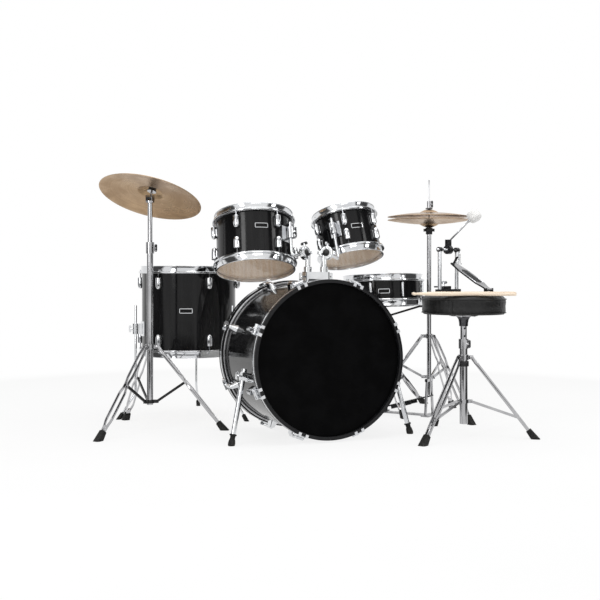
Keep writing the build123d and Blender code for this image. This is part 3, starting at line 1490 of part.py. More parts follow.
toe_rise = pedal_toe_height - pedal_board_hinge
toe_run = pedal_toe_forward + hinge_back
pedal_length = hypot(toe_run, toe_rise)
pedal_slope = atan2(toe_rise, toe_run)
pedal_board = Plane(
    origin=pedal_plane.from_local_coords(Vector(-hinge_back, 0, pedal_board_hinge)),
    x_dir=pedal_plane.x_dir * cos(pedal_slope) + Vector(0, 0, sin(pedal_slope)),
    z_dir=pedal_plane.x_dir * -sin(pedal_slope) + Vector(0, 0, cos(pedal_slope)),
)
strap_foot = pedal_plane.from_local_coords(Vector(pedal_toe_forward, 0, pedal_toe_height))
with BuildPart(pedal_board) as pedal_footboard:
    with BuildSketch(pedal_board.offset(-pedal_board_sheet / 2)):
        with BuildLine():
            Polyline(
                (0, -pedal_hinge_width / 2),
                (3 * pedal_hinge_radius, -pedal_hinge_width / 2),
                (0.25 * pedal_length, -pedal_board_width / 2),
                (0.72 * pedal_length, -pedal_board_width / 2),
                (pedal_length, -pedal_hinge_width / 2),
                (pedal_length, pedal_hinge_width / 2),
                (0.72 * pedal_length, pedal_board_width / 2),
                (0.25 * pedal_length, pedal_board_width / 2),
                (3 * pedal_hinge_radius, pedal_hinge_width / 2),
                (0, pedal_hinge_width / 2),
                close=True,
            )
        make_face()
    extrude(amount=pedal_board_sheet)
    Cylinder(pedal_hinge_radius, pedal_hinge_width, rotation=(90, 0, 0))
    Cylinder(pin_radius, pedal_hinge_width + 2 * slip + 4 * cheek, rotation=(90, 0, 0))
    with Locations((pedal_length - pedal_drive_sheet, 0, 0)):
        Box(pedal_drive_sheet, pedal_drive_width, pedal_strap_rise, align=UP)
pieces["pedal_footboard"] = pedal_footboard.part

beater_line = Vector(-sin(radians(beater_lean)), 0, cos(radians(beater_lean)))
beater_foot = Vector(pedal_post_forward, 0, pedal_axle_height + beater_rise)
beater_point = beater_foot + beater_line * beater_rod_length
axle_end = spring_line + pedal_axle_radius
with BuildPart(pedal_plane) as beater:
    bar((pedal_post_forward, -axle_end, pedal_axle_height),
        (pedal_post_forward, post_line + 2 * pedal_post_radius, pedal_axle_height), pedal_axle_radius)
    with Locations((pedal_post_forward, 0, pedal_axle_height)):
        Cylinder(pedal_hub_radius, pedal_hub_width, rotation=(90, 0, 0))
    with Locations((pedal_post_forward, 0, pedal_axle_height)):
        Box(beater_block, beater_block, beater_rise + beater_block / 2, align=UP)
    bar(beater_foot, beater_point, beater_rod_radius)
    with Locations(Plane(origin=beater_point, x_dir=(0, 1, 0), z_dir=(beater_line.Z, 0, -beater_line.X))):
        Cylinder(beater_radius, beater_length)
    bar((pedal_post_forward, -spring_line, pedal_axle_height),
        (pedal_post_forward, -spring_line, spring_top + 3 * spring_wire), 2 * spring_wire)
pieces["pedal_beater"] = beater.part

# Two sticks lying side by side across the near edge of the seat

stick_line = Vector(cos(radians(stick_angle)), sin(radians(stick_angle)), 0)
stick_aside = Vector(stick_line.Y, -stick_line.X, 0)
sticks = []
for index in range(2):
    middle = Vector(stick_x, stick_y, 0) + stick_aside * stick_spacing * index
    reach = (middle - Vector(throne_x, throne_y, 0)).dot(stick_aside)
    level = seat_top - seat_crown * (reach / seat_flat) ** 2 + stick_radius + slip
    stick_plane = Plane(
        origin=middle - stick_line * stick_length / 2 + Vector(0, 0, level), x_dir=(0, 0, 1), z_dir=stick_line
    )
    with BuildPart() as stick:
        with BuildSketch(section(stick_plane)):
            with BuildLine():
                Polyline(
                    (stick_neck, stick_length - 2 * stick_radius),
                    (stick_radius, stick_length - stick_taper),
                    (stick_radius, stick_neck),
                    (stick_radius - stick_neck / 2, 0),
                    (0, 0),
                    (0, stick_length),
                )
                ThreePointArc(
                    (0, stick_length),
                    (stick_tip, stick_length - stick_radius),
                    (stick_neck, stick_length - 2 * stick_radius),
                )
            make_face()
        revolve(axis=axis_of(stick_plane))
    sticks.append(stick.part)
with BuildPart() as stick_pair:
    add(sticks[0])
    add(sticks[1])
pieces["drum_sticks"] = stick_pair.part

os.makedirs("parts", exist_ok=True)
for name, piece in pieces.items():
    piece.label = name
    export_step(piece, f"parts/{name}.step")
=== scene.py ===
import json
from functools import partial
from math import asin, atan2, cos, degrees, hypot, pi, radians, sin

import bmesh
import bpy
from mathutils import Matrix, Vector


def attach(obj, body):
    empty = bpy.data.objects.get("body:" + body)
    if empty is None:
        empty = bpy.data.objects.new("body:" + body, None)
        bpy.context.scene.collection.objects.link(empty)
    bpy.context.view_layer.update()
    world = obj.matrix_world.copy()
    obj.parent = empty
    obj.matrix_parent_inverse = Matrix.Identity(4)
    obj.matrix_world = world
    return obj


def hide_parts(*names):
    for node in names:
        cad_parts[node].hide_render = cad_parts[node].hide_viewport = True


# Five piece drum kit on a white floor. Shapes are drawn in millimetres in the frame of the drum or stand
# that they belong to, and placed in metres.

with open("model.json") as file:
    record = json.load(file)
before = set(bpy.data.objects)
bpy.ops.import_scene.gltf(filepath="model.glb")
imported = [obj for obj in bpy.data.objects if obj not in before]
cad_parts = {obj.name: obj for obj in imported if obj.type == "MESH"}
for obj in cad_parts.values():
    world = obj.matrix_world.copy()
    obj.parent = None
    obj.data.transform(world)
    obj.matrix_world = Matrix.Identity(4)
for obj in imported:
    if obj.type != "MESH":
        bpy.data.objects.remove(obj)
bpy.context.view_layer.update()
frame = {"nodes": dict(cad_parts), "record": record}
nodes = frame["nodes"]
scene = bpy.context.scene
body_of = {
    node: body
    for body, members in frame["record"]["behaviour"]["bodies"].items()
    for node in members
}


# Shader building

def fill(socket, value):
    """Link a socket from another one, or set its value. Colours come as red, green and blue."""
    if isinstance(value, bpy.types.NodeSocket):
        socket.id_data.links.new(value, socket)
    elif socket.type == "RGBA":
        socket.default_value = (*value, 1.0)
    else:
        socket.default_value = value


def add_node(tree, kind, settings=None, **values):
    """New shader node with its settings, and its inputs set to values or linked from sockets."""
    node = tree.nodes.new("ShaderNode" + kind)
    for key, value in (settings or {}).items():
        setattr(node, key, value)
    for key, value in values.items():
        fill(node.inputs[key.replace("_", " ")], value)
    return node


def calculate(operation, first, *others):
    """The operation from value to value, in their order. The first comes from a node."""
    for other in others:
        node = add_node(first.id_data, "Math", {"operation": operation})
        fill(node.inputs[0], first)
        fill(node.inputs[1], other)
        first = node.outputs[0]
    return first


times = partial(calculate, "MULTIPLY")
plus = partial(calculate, "ADD")
largest = partial(calculate, "MAXIMUM")


def length_of(vector):
    node = add_node(vector.id_data, "VectorMath", {"operation": "LENGTH"})
    fill(node.inputs[0], vector)
    return node.outputs["Value"]


def spread(value, low, high, start=0.0, end=1.0):
    """Value stretched from low..high to start..end, with soft ends."""
    return add_node(
        value.id_data, "MapRange", {"interpolation_type": "SMOOTHSTEP"},
        Value=value, From_Min=low, From_Max=high, To_Min=start, To_Max=end,
    ).outputs["Result"]


def mixed(share, first, second):
    """Mix of two colours."""
    node = add_node(share.id_data, "Mix", {"data_type": "RGBA"})
    for index, value in ((0, share), (6, first), (7, second)):
        fill(node.inputs[index], value)
    return node.outputs[2]


def noise(vector, scale, detail, **more):
    node = add_node(vector.id_data, "TexNoise", Vector=vector, Scale=scale, Detail=detail, **more)
    return node.outputs["Fac"]


# Shared surface effects

colour_sockets = ("Color", "Ground", "Cloud", "Light", "Dark")


def effect(name, inputs, outputs):
    """Shader group with a vector and the named sockets. Gives its tree, its vector, inputs and outputs."""
    tree = bpy.data.node_groups.new(name, "ShaderNodeTree")
    tree.interface.new_socket("Vector", in_out="INPUT", socket_type="NodeSocketVector")
    for side, labels in (("INPUT", inputs), ("OUTPUT", outputs)):
        for label in labels:
            kind = "NodeSocketColor" if label in colour_sockets else "NodeSocketFloat"
            tree.interface.new_socket(label, in_out=side, socket_type=kind)
    given = tree.nodes.new("NodeGroupInput").outputs
    return tree, given["Vector"], given, tree.nodes.new("NodeGroupOutput").inputs


uneven_gloss, where, given, result = effect("uneven gloss", ("Scale", "Low", "High"), ("Roughness",))
patch = spread(noise(where, given["Scale"], 5.0, Roughness=0.62), 0.34, 0.68)
fill(result["Roughness"], spread(patch, 0.0, 1.0, given["Low"], given["High"]))

two_tone, where, given, result = effect("two tone", ("Scale", "Ground", "Cloud"), ("Color",))
patch = spread(noise(where, given["Scale"], 6.0, Roughness=0.6), 0.36, 0.66)
fill(result["Color"], mixed(patch, given["Ground"], given["Cloud"]))

fine_scratches, where, given, result = effect("fine scratches", ("Scale",), ("Scratch",))
lines = []
for turn, stretch in ((0.5, 0.06), (2.1, 0.05), (1.2, 0.08)):
    lay = add_node(fine_scratches, "Mapping", Vector=where, Rotation=(turn, 0.6 * turn, 1.7 * turn),
                   Scale=(1.0, stretch, 1.0))
    lines.append(spread(noise(lay.outputs[0], given["Scale"], 2.0, Roughness=0.4), 0.66, 0.74))
fill(result["Scratch"], largest(*lines))

wood_figure, where, given, result = effect("wood figure", ("Light", "Dark", "Scale"), ("Color", "Height"))
flow = noise(where, given["Scale"], 4.0, Distortion=1.2)
bands = add_node(wood_figure, "TexWave", {"bands_direction": "X"}, Vector=where, Scale=given["Scale"],
                 Distortion=9.0, Detail=3.0, Detail_Scale=0.7).outputs["Fac"]
pores = noise(where, times(given["Scale"], 14.0), 3.0)
figure = plus(times(bands, 0.55), times(flow, 0.45))
fleck = spread(pores, 0.56, 0.72)
shade = spread(plus(figure, times(fleck, 0.35)), 0.2, 0.95)
fill(result["Color"], mixed(shade, given["Light"], given["Dark"]))
fill(result["Height"], calculate("SUBTRACT", figure, fleck))

lathe_rings, where, given, result = effect("lathe rings", ("Rings",), ("Ring", "Height"))
flat = add_node(lathe_rings, "VectorMath", {"operation": "MULTIPLY"})
fill(flat.inputs[0], where)
fill(flat.inputs[1], (1.0, 1.0, 0.0))
away = length_of(flat.outputs[0])
layers = []
for pitch, detail, share in ((times(given["Rings"], 0.12), 2.0, 0.4), (given["Rings"], 3.0, 0.6)):
    layer = add_node(lathe_rings, "TexNoise", {"noise_dimensions": "1D"}, W=times(away, pitch), Scale=1.0,
                     Detail=detail)
    layers.append(times(layer.outputs["Fac"], share))
height = plus(*layers)
fill(result["Ring"], spread(height, 0.3, 0.7))
fill(result["Height"], height)

hide_grain, where, given, result = effect("hide grain", ("Scale",), ("Height", "CreaseShade"))
warp = add_node(hide_grain, "TexNoise", Vector=where, Scale=40.0, Detail=2.0)
pushed = add_node(hide_grain, "Mix", {"data_type": "VECTOR"})
for index, value in ((0, 0.004), (4, where), (5, warp.outputs["Color"])):
    fill(pushed.inputs[index], value)
cells = add_node(hide_grain, "TexVoronoi", {"feature": "DISTANCE_TO_EDGE"}, Vector=pushed.outputs[1],
                 Scale=given["Scale"])
crease = spread(cells.outputs["Distance"], 0.0, 0.16)
soft = noise(where, times(given["Scale"], 0.25), 3.0)
fill(result["Height"], plus(crease, times(soft, 0.6)))
# This output tells hide() where to paint shade: darker colour in the creases of the grain
fill(result["CreaseShade"], crease)

floor_dust, where, given, result = effect("floor dust", ("Top",), ("Dust",))
height = add_node(floor_dust, "SeparateXYZ", Vector=where).outputs["Z"]
low = spread(height, 0.0, given["Top"], 1.0, 0.0)
specks = noise(where, 180.0, 5.0, Roughness=0.7)
fill(result["Dust"], times(low, spread(specks, 0.42, 0.7)))


# Finishes

def finish(name, **plain):
    """New material, its shader's sockets with plain values on them, and its object coordinates."""
    material = bpy.data.materials.new(name)
    material.use_nodes = True
    tree = material.node_tree
    sockets = tree.nodes["Principled BSDF"].inputs
    for key, value in {"IOR": 1.5, **plain}.items():
        fill(sockets[key.replace("_", " ")], value)
    return material, sockets, tree.nodes.new("ShaderNodeTexCoord").outputs["Object"]


def place_effect(group, coords, **values):
    return add_node(coords.id_data, "Group", {"node_tree": group}, Vector=coords, **values).outputs


def tone(coords, scale, ground, cloud):
    """Colour that wanders between two close tones."""
    return place_effect(two_tone, coords, Scale=scale, Ground=ground, Cloud=cloud)["Color"]


def gloss(coords, scale, low, high):
    """Roughness that wanders between low and high."""
    return place_effect(uneven_gloss, coords, Scale=scale, Low=low, High=high)["Roughness"]


def scratched(coords, rough, scale, depth):
    """Roughness with fine handling marks."""
    marks = place_effect(fine_scratches, coords, Scale=scale)["Scratch"]
    return plus(rough, times(marks, depth))


def coat(sockets, shade, rough):
    fill(sockets["Base Color"], shade)
    fill(sockets["Roughness"], rough)


def bump(sockets, height, strength, distance):
    relief = add_node(height.id_data, "Bump", Height=height, Strength=strength, Distance=distance)
    fill(sockets["Normal"], relief.outputs["Normal"])


def laid(coords, place, stretch=1.0):
    """Object coordinates in the frame of a unit, stretched along its axis, for a pattern."""
    return add_node(
        coords.id_data, "Mapping", {"vector_type": "TEXTURE"}, Vector=coords, Location=place.to_translation(),
        Rotation=place.to_euler(), Scale=(1.0, 1.0, stretch),
    ).outputs[0]


def metal(name, ground, cloud, low, high, scratch=0.06, scale=9.0):
    """Plated or bare metal with cloudy gloss and fine handling marks."""
    material, sockets, coords = finish(name, Metallic=1.0)
    rough = scratched(coords, gloss(coords, 3.0 * scale, low, high), 90.0, scratch)
    coat(sockets, tone(coords, scale, ground, cloud), rough)
    return material


def paint(name, ground, cloud, low, high, relief=0.0, ior=1.5, dusty=False, grain=260.0):
    """Paint, plastic or rubber: two close tones, uneven gloss and a fine surface relief."""
    material, sockets, coords = finish(name, IOR=ior)
    shade = tone(coords, 30.0, ground, cloud)
    if dusty:
        dust = place_effect(floor_dust, coords, Top=0.05)["Dust"]
        shade = mixed(times(dust, 0.12), shade, (0.22, 0.21, 0.2))
    coat(sockets, shade, gloss(coords, 66.0, low, high))
    if relief:
        bump(sockets, noise(coords, grain, 4.0, Roughness=0.65), 0.5, relief)
    return material


def felt(name, ground, cloud):
    """Pressed felt: matted fibres and a soft nap."""
    material, sockets, coords = finish(name, IOR=1.3, Sheen_Weight=0.35, Sheen_Roughness=0.6)
    coat(sockets, tone(coords, 220.0, ground, cloud), gloss(coords, 300.0, 0.8, 0.98))
    bump(sockets, noise(coords, 900.0, 5.0, Roughness=0.7, Distortion=1.5), 0.2, 0.0003)
    return material


def wrap(name, place):
    """Black gloss drum wrap: deep colour, faint lengthwise streaks and a slight orange peel."""
    material, sockets, coords = finish(name, IOR=1.32)
    along = laid(coords, place, 14.0)
    rough = scratched(coords, gloss(coords, 26.0, 0.07, 0.13), 45.0, 0.05)
    coat(sockets, tone(along, 60.0, (0.0045, 0.0045, 0.005), (0.009, 0.009, 0.0095)), rough)
    bump(sockets, noise(coords, 140.0, 1.0), 0.12, 0.0002)
    return material


def wood(name, place, stretch, scale, light, dark, mottle, low, high, relief):
    """Bare wood, its grain along the unit."""
    material, sockets, coords = finish(name, IOR=1.45)
    along = laid(coords, place, stretch)
    figure = place_effect(wood_figure, along, Light=light, Dark=dark, Scale=scale)
    coat(sockets, figure["Color"], gloss(coords, mottle, low, high))
    bump(sockets, figure["Height"], 0.25, relief)
    return material


def bronze(name, place):
    """Turned cymbal bronze: lathe rings, hammer marks, warm clouds, gloss stretched across the rings."""
    material, sockets, coords = finish(name, Metallic=1.0, Anisotropic=0.75)
    across = add_node(coords.id_data, "Tangent", {"direction_type": "RADIAL", "axis": "Z"})
    fill(sockets["Tangent"], across.outputs["Tangent"])
    own = laid(coords, place)
    rings = place_effect(lathe_rings, own, Rings=1400.0)
    shade = tone(own, 7.0, (0.5, 0.35, 0.21), (0.4, 0.27, 0.16))
    shade = mixed(times(rings["Ring"], 0.5), shade, (0.29, 0.185, 0.1))
    rough = plus(gloss(own, 14.0, 0.24, 0.34), times(rings["Ring"], 0.08))
    coat(sockets, shade, rough)
    hammer = add_node(own.id_data, "TexVoronoi", {"feature": "SMOOTH_F1"}, Vector=own, Scale=46.0)
    height = plus(rings["Height"], times(hammer.outputs["Distance"], 2.5))
    bump(sockets, height, 0.35, 0.0004)
    return material


def film(name, ground, cloud, low, high, relief, alpha=1.0, ior=1.45):
    """Drum head film, coated or bare."""
    material, sockets, coords = finish(name, IOR=ior, Alpha=alpha)
    coat(sockets, tone(coords, 12.0, ground, cloud), gloss(coords, 36.0, low, high))
    if relief:
        bump(sockets, noise(coords, 700.0, 5.0, Roughness=0.7), 0.4, relief)
    return material


def hide(name):
    """Black upholstery vinyl with a fine pressed grain, and painted shade in the grain's creases."""
    material, sockets, coords = finish(name, IOR=1.38)
    grain = place_effect(hide_grain, coords, Scale=420.0)
    shade = tone(coords, 16.0, (0.007, 0.007, 0.0075), (0.012, 0.012, 0.0125))
    # Painted shade: the colour goes darker in the creases of the grain
    shade = mixed(times(grain["CreaseShade"], 0.5), (0.006, 0.006, 0.006), shade)
    coat(sockets, shade, gloss(coords, 40.0, 0.3, 0.42))
    bump(sockets, grain["Height"], 0.4, 0.0005)
    return material


def wire(name, place):
    """Coiled snare wire, its turns as relief along the strand, and painted shade in the gaps between the
    turns.
    """
    material, sockets, coords = finish(name, Metallic=1.0)
    along = laid(coords, place)
    coil = add_node(along.id_data, "TexWave", {"bands_direction": "X"}, Vector=along, Scale=190.0)
    turns = coil.outputs["Fac"]
    shade = tone(coords, 60.0, (0.62, 0.62, 0.63), (0.5, 0.5, 0.51))
    # Painted shade: the colour falls to dark grey in the gaps between the coil's turns
    coat(sockets, mixed(turns, (0.2, 0.2, 0.2), shade), gloss(coords, 80.0, 0.18, 0.3))
    bump(sockets, turns, 0.6, 0.0004)
    return material


chrome = metal("chrome", (0.74, 0.75, 0.76), (0.62, 0.63, 0.65), 0.05, 0.13)
stand_chrome = metal("stand chrome", (0.5, 0.5, 0.51), (0.41, 0.41, 0.42), 0.06, 0.14)
satin_steel = metal("satin steel", (0.5, 0.5, 0.51), (0.4, 0.4, 0.41), 0.24, 0.36, 0.1)
cast_metal = metal("cast metal", (0.42, 0.42, 0.43), (0.33, 0.33, 0.34), 0.3, 0.45, 0.12, 22.0)
dark_metal = metal("dark metal", (0.09, 0.09, 0.095), (0.06, 0.06, 0.065), 0.25, 0.4, 0.12, 22.0)
black_paint = paint("black paint", (0.011, 0.011, 0.012), (0.018, 0.018, 0.019), 0.22, 0.34, 0.00002, 1.35)
black_plastic = paint("black plastic", (0.012, 0.012, 0.013), (0.02, 0.02, 0.021), 0.32, 0.46, 0.00006, 1.35)
rubber = paint("rubber", (0.008, 0.008, 0.008), (0.014, 0.014, 0.013), 0.5, 0.68, 0.00012, 1.25, dusty=True)
hoop_lacquer = paint("hoop lacquer", (0.006, 0.006, 0.007), (0.011, 0.011, 0.012), 0.1, 0.18, ior=1.3)
badge_face = paint("badge face", (0.004, 0.004, 0.0042), (0.008, 0.008, 0.0085), 0.18, 0.26, ior=1.25)
thread = paint("thread", (0.03, 0.03, 0.031), (0.05, 0.05, 0.052), 0.6, 0.75, 0.0001, grain=1500.0)
board = paint("seat board", (0.03, 0.028, 0.026), (0.05, 0.046, 0.042), 0.6, 0.75, 0.0001)
dark_felt = felt("dark felt", (0.02, 0.018, 0.016), (0.045, 0.04, 0.036))
white_felt = felt("white felt", (0.8, 0.795, 0.78), (0.72, 0.715, 0.7))
coated_film = film("coated film", (0.8, 0.8, 0.79), (0.74, 0.74, 0.72), 0.5, 0.66, 0.00025, 0.42)
clear_film = film("clear film", (0.97, 0.89, 0.8), (0.9, 0.8, 0.69), 0.08, 0.16, 0.0, 0.28)
batter_film = film("batter film", (0.8, 0.8, 0.79), (0.73, 0.73, 0.71), 0.5, 0.66, 0.00025, 0.86)
front_film = film("front film", (0.0012, 0.0012, 0.0013), (0.0024, 0.0024, 0.0026), 0.34, 0.38, 0.00004,
                  ior=1.1)
vinyl = hide("vinyl")


# Shaping

def placed(centre, across, axis):
    """Frame of a unit: millimetres in, metres out."""
    axis = Vector(axis).normalized()
    across = (Vector(across) - axis * axis.dot(Vector(across))).normalized()
    turn = Matrix((across, axis.cross(across), axis)).transposed().to_4x4()
    return Matrix.Translation(Vector(centre) * 0.001) @ turn @ Matrix.Scale(0.001, 4)


def held(centre, across, axis):
    """Frame inside a unit, in the unit's own millimetres."""
    return Matrix.Scale(1000, 4) @ placed(centre, across, axis)


def leaning(centre, normal):
    return placed(centre, (1, 0, 0), normal)


def standing(x, y, z=0.0, turn=0.0):
    return placed((x, y, z), (cos(radians(turn)), sin(radians(turn)), 0), (0, 0, 1))


def shifted(x=0.0, y=0.0, z=0.0):
    return Matrix.Translation((x, y, z))


def turned(angle, axis="Z"):
    return Matrix.Rotation(radians(angle), 4, axis)


def moved(shape, matrix):
    bmesh.ops.transform(shape, matrix=matrix, verts=shape.verts)
    return shape


def softened(shape, geom, offset, bends=2, affect="EDGES", clamp=True, slide=False):
    """Shape with the given edges or corners rounded."""
    bmesh.ops.bevel(shape, geom=geom, offset=offset, offset_type="OFFSET", segments=bends, profile=0.5,
                    affect=affect, clamp_overlap=clamp, material=-1, loop_slide=slide)
    return shape


def spun(profile, steps=96, soft=0.0, bends=2, closed=True):
    """Corners (radius, height) spun round the upright axis, each corner rounded by soft. A line that starts
    on the axis stays open."""
    shape = bmesh.new()
    corners = [shape.verts.new((radius, 0, height)) for radius, height in profile]
    for first, second in zip(corners, corners[1:]):
        shape.edges.new((first, second))
    if closed and profile[0][0] > 0:
        shape.edges.new((corners[-1], corners[0]))
    if soft:
        inner = [corner for corner in corners if len(corner.link_edges) == 2 and corner.co.x > 1e-6]
        softened(shape, inner, soft, bends, "VERTICES")
    bmesh.ops.spin(shape, geom=shape.verts[:] + shape.edges[:], cent=(0, 0, 0), axis=(0, 0, 1),
                   dvec=(0, 0, 0), angle=2 * pi, steps=steps, use_merge=True)
    bmesh.ops.remove_doubles(shape, verts=shape.verts, dist=1e-4)
    bmesh.ops.recalc_face_normals(shape, faces=shape.faces)
    return shape


def block(width, depth, height, soft=1.0):
    """Block round the origin with softened edges."""
    shape = bmesh.new()
    bmesh.ops.create_cube(shape, size=1.0, matrix=Matrix.Diagonal((width, depth, height, 1)))
    return softened(shape, shape.edges[:], soft) if soft else shape


def rod(start, end, radius, sides=20, soft=0.0):
    """Round rod between two points, its ends softened."""
    start, end = Vector(start), Vector(end)
    length = (end - start).length
    turn = Vector((0, 0, 1)).rotation_difference(end - start).to_matrix().to_4x4()
    shape = spun([(0, 0), (radius, 0), (radius, length), (0, length)], sides, soft)
    return moved(shape, Matrix.Translation(start) @ turn)


def smooth_step(value, low, high):
    share = min(1.0, max(0.0, (value - low) / (high - low)))
    return share * share * (3 - 2 * share)


def flat_bar(length, width, thick, line):
    """Flat bar along x with round ends, its middle at the heights that line gives."""
    shape = moved(block(length + width, width, thick, 0), shifted(length / 2))
    corners = [edge for edge in shape.edges if abs(edge.verts[0].co.z - edge.verts[1].co.z) > thick / 2]
    softened(shape, corners, 0.49 * width, 5)
    cut_step = 8.0
    for step in range(1, int(length / cut_step)):
        bmesh.ops.bisect_plane(shape, geom=shape.verts[:] + shape.edges[:] + shape.faces[:],
                               plane_co=(cut_step * step, 0, 0), plane_no=(1, 0, 0))
    softened(shape, [edge for edge in shape.edges if edge.calc_face_angle(0.0) > radians(60)], 0.5)
    for vert in shape.verts:
        vert.co.z += line(vert.co.x)
    return shape


def double_leg(place, angle, collar, reach, share, upper, lower):
    """Parts of a tripod leg: two flat bars bowed apart between their pins, with rivet heads."""
    hinge = 30
    length = hypot(reach - hinge, collar)
    bars = length - 46
    joint = share * length
    own = place @ turned(angle) @ held((hinge, 0, collar), (reach - hinge, 0, -collar), (0, 1, 0))

    def line(x):
        above = smooth_step(x, 6, 40) - smooth_step(x, joint - 40, joint - 8)
        below = smooth_step(x, joint + 8, joint + 40) - smooth_step(x, bars - 46, bars - 10)
        return 7 + upper * max(above, 0.0) + lower * max(below, 0.0)

    parts = [(block(24, 12, 11.2, 0.6), own @ shifted(bars - 6), 0)]
    for half in (0, 180):
        side = own @ turned(half, "X")
        parts.append((flat_bar(bars, 12, 3, line), side, 0))
        for x in (0, joint):
            parts.append((rod((x, 0, 8.3), (x, 0, 10.4), 4.2, 16, 0.8), side, 0))
    return parts


def mesh_of(shape, name):
    """New mesh that takes over the shape."""
    mesh = bpy.data.meshes.new(name)
    shape.to_mesh(mesh)
    shape.free()
    return mesh


def put(name, data):
    """New object in the scene."""
    item = bpy.data.objects.new(name, data)
    scene.collection.objects.link(item)
    return item


def gathered(*parts):
    """One shape from several, each with its place and the number of its finish."""
    whole = bmesh.new()
    for shape, place, number in parts:
        for face in shape.faces:
            face.material_index = number
        scrap = mesh_of(moved(shape, place), "scrap")
        whole.from_mesh(scrap)
        bpy.data.meshes.remove(scrap)
    return whole


def repeated(shape, places, number=0):
    """The same shape at several places, as parts to gather."""
    parts = [(shape.copy(), place, number) for place in places]
    shape.free()
    return parts


def made(name, shape, body, finishes, replaces=(), sharp=34.0, even=False):
    """Finished piece from a shape or a list of parts: smooth where it curves, riding on its body."""
    mesh = mesh_of(gathered(*shape) if isinstance(shape, list) else shape, name)
    for material in finishes:
        mesh.materials.append(material)
    mesh.shade_smooth()
    mesh.set_sharp_from_angle(angle=radians(sharp))
    piece = put(name, mesh)
    if even:
        piece.modifiers.new("even shading", "WEIGHTED_NORMAL").keep_sharp = True
    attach(piece, body)
    if replaces:
        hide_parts(*replaces)
    return piece


def solids_of(shape):
    """Connected solids of a shape: their faces, lowest and highest corners."""
    for face in shape.faces:
        face.tag = False
    solids = []
    for seed in shape.faces:
        if seed.tag:
            continue
        seed.tag = True
        faces = [seed]
        for face in faces:
            for edge in face.edges:
                for near in edge.link_faces:
                    if not near.tag:
                        near.tag = True
                        faces.append(near)
        points = [vert.co for face in faces for vert in face.verts]
        low = Vector([min(point[axis] for point in points) for axis in range(3)])
        high = Vector([max(point[axis] for point in points) for axis in range(3)])
        solids.append((faces, low, high))
    return solids


def dressed(node, finishes, choose=None, edge=0.35, place=None):
    """Copy of a CAD piece with softened edges. Choose gives each face the number of its finish, or None to
    leave its solid out, from the face's middle in the unit's own millimetres and its solid's box."""
    shape = bmesh.new()
    shape.from_mesh(nodes[node].data)
    bmesh.ops.remove_doubles(shape, verts=shape.verts, dist=2e-6)
    bmesh.ops.dissolve_limit(shape, angle_limit=radians(0.5), verts=shape.verts[:], edges=shape.edges[:])
    inverse = place.inverted() if place else Matrix.Scale(1000, 4)
    if choose:
        left_out = []
        for faces, low, high in solids_of(shape):
            for face in faces:
                number = choose(inverse @ face.calc_center_median(), low * 1000, high * 1000)
                if number is None:
                    left_out.append(face)
                else:
                    face.material_index = number
        bmesh.ops.delete(shape, geom=left_out, context="FACES")
    crisp = [
        item for item in shape.edges
        if item.is_manifold and item.calc_face_angle(0.0) > radians(40) and item.calc_length() > 0.0008
    ]
    softened(shape, crisp, edge * 0.001, slide=True)
    return made(node + "_dressed", shape, body_of[node], finishes, (node,), sharp=80, even=True)


def near_axis(point):
    return hypot(point.x, point.y)


# Drums

bass_x = -44
bass_tilt = asin(8.0 / 438.0)
bass_frame = leaning((bass_x, -218, 296.15), (0, -cos(bass_tilt), sin(bass_tilt)))
left_tom_frame = leaning((-213, -70, 731), (0.059, 0.288, 0.956))
right_tom_frame = leaning((187, -65, 763), (-0.060, 0.313, 0.947))
floor_tom_frame = leaning((-355.5, 392.5, 454), (0, 0, 1))
snare_spot = (512.5, 269.5)
snare_frame = leaning((*snare_spot, 533), (0, sin(radians(3.5)), cos(radians(3.5))))


def shell(name, place, radius, depth, wall):
    """Ply tube: wrap outside, bare wood inside and on the bearing edges."""
    half = depth / 2
    inner = radius - wall
    chamfer = wall - 1.2
    outside = spun([(radius, -half), (radius, half)], 160, closed=False)
    inside = spun(
        [(radius, half), (radius - 1.2, half), (inner, half - chamfer), (inner, chamfer - half),
         (radius - 1.2, -half), (radius, -half)],
        160, closed=False,
    )
    shape = gathered((outside, place, 0), (inside, place, 1))
    bmesh.ops.remove_doubles(shape, verts=shape.verts, dist=1e-6)
    bmesh.ops.recalc_face_normals(shape, faces=shape.faces)
    ply = wood(name + " wood", place, 9.0, 16.0, (0.97, 0.84, 0.69), (0.87, 0.68, 0.5), 30.0, 0.5, 0.68,
               0.0004)
    made(name + "_tube", shape, body_of[name], [wrap(name + " wrap", place), ply], (name,))


def at_end(line, side, depth):
    """Profile measured from a drum's bearing edge, on its upper (1) or lower (-1) end."""
    return [(radius, side * (depth / 2 + height)) for radius, height in line]


def heads(name, place, radius, depth, seat, ring, top, bottom):
    """Two heads: film with its collar over the bearing edge, and the flesh ring under the hoop."""
    collar = radius + 0.3
    film_line = [(0, 0.02), (collar - 0.2, 0.02), (collar, -0.2), (collar, -seat), (collar + 0.6, -seat),
                 (collar + 0.6, -0.2), (collar - 0.2, 0.6), (0, 0.6)]
    ring_line = [(collar, -seat - 6), (radius + ring, -seat - 6), (radius + ring, -seat), (collar, -seat)]
    parts = []
    for side, number in ((1, 0), (-1, 1)):
        parts.append((spun(at_end(film_line, side, depth), 160), place, number))
        parts.append((spun(at_end(ring_line, side, depth), 160, 1.2), place, 2))
    made(name + "_pair", parts, body_of[name], [top, bottom, satin_steel], (name,))


def pressed_hoops(name, place, radius, depth):
    """Triple flanged steel hoops with rolled edges."""
    sheet = [(1.2, -13), (1.2, 13), (6.5, 13), (6.5, 11), (3.2, 11), (3.2, -11), (14, -11), (14, -18),
             (12, -18), (12, -13)]
    line = [(radius + out, height) for out, height in sheet]
    parts = [(spun(at_end(line, side, depth), 160, 0.95, bends=3), place, 0) for side in (1, -1)]
    made(name + "_rolled", parts, body_of[name], [chrome], (name,), sharp=50)


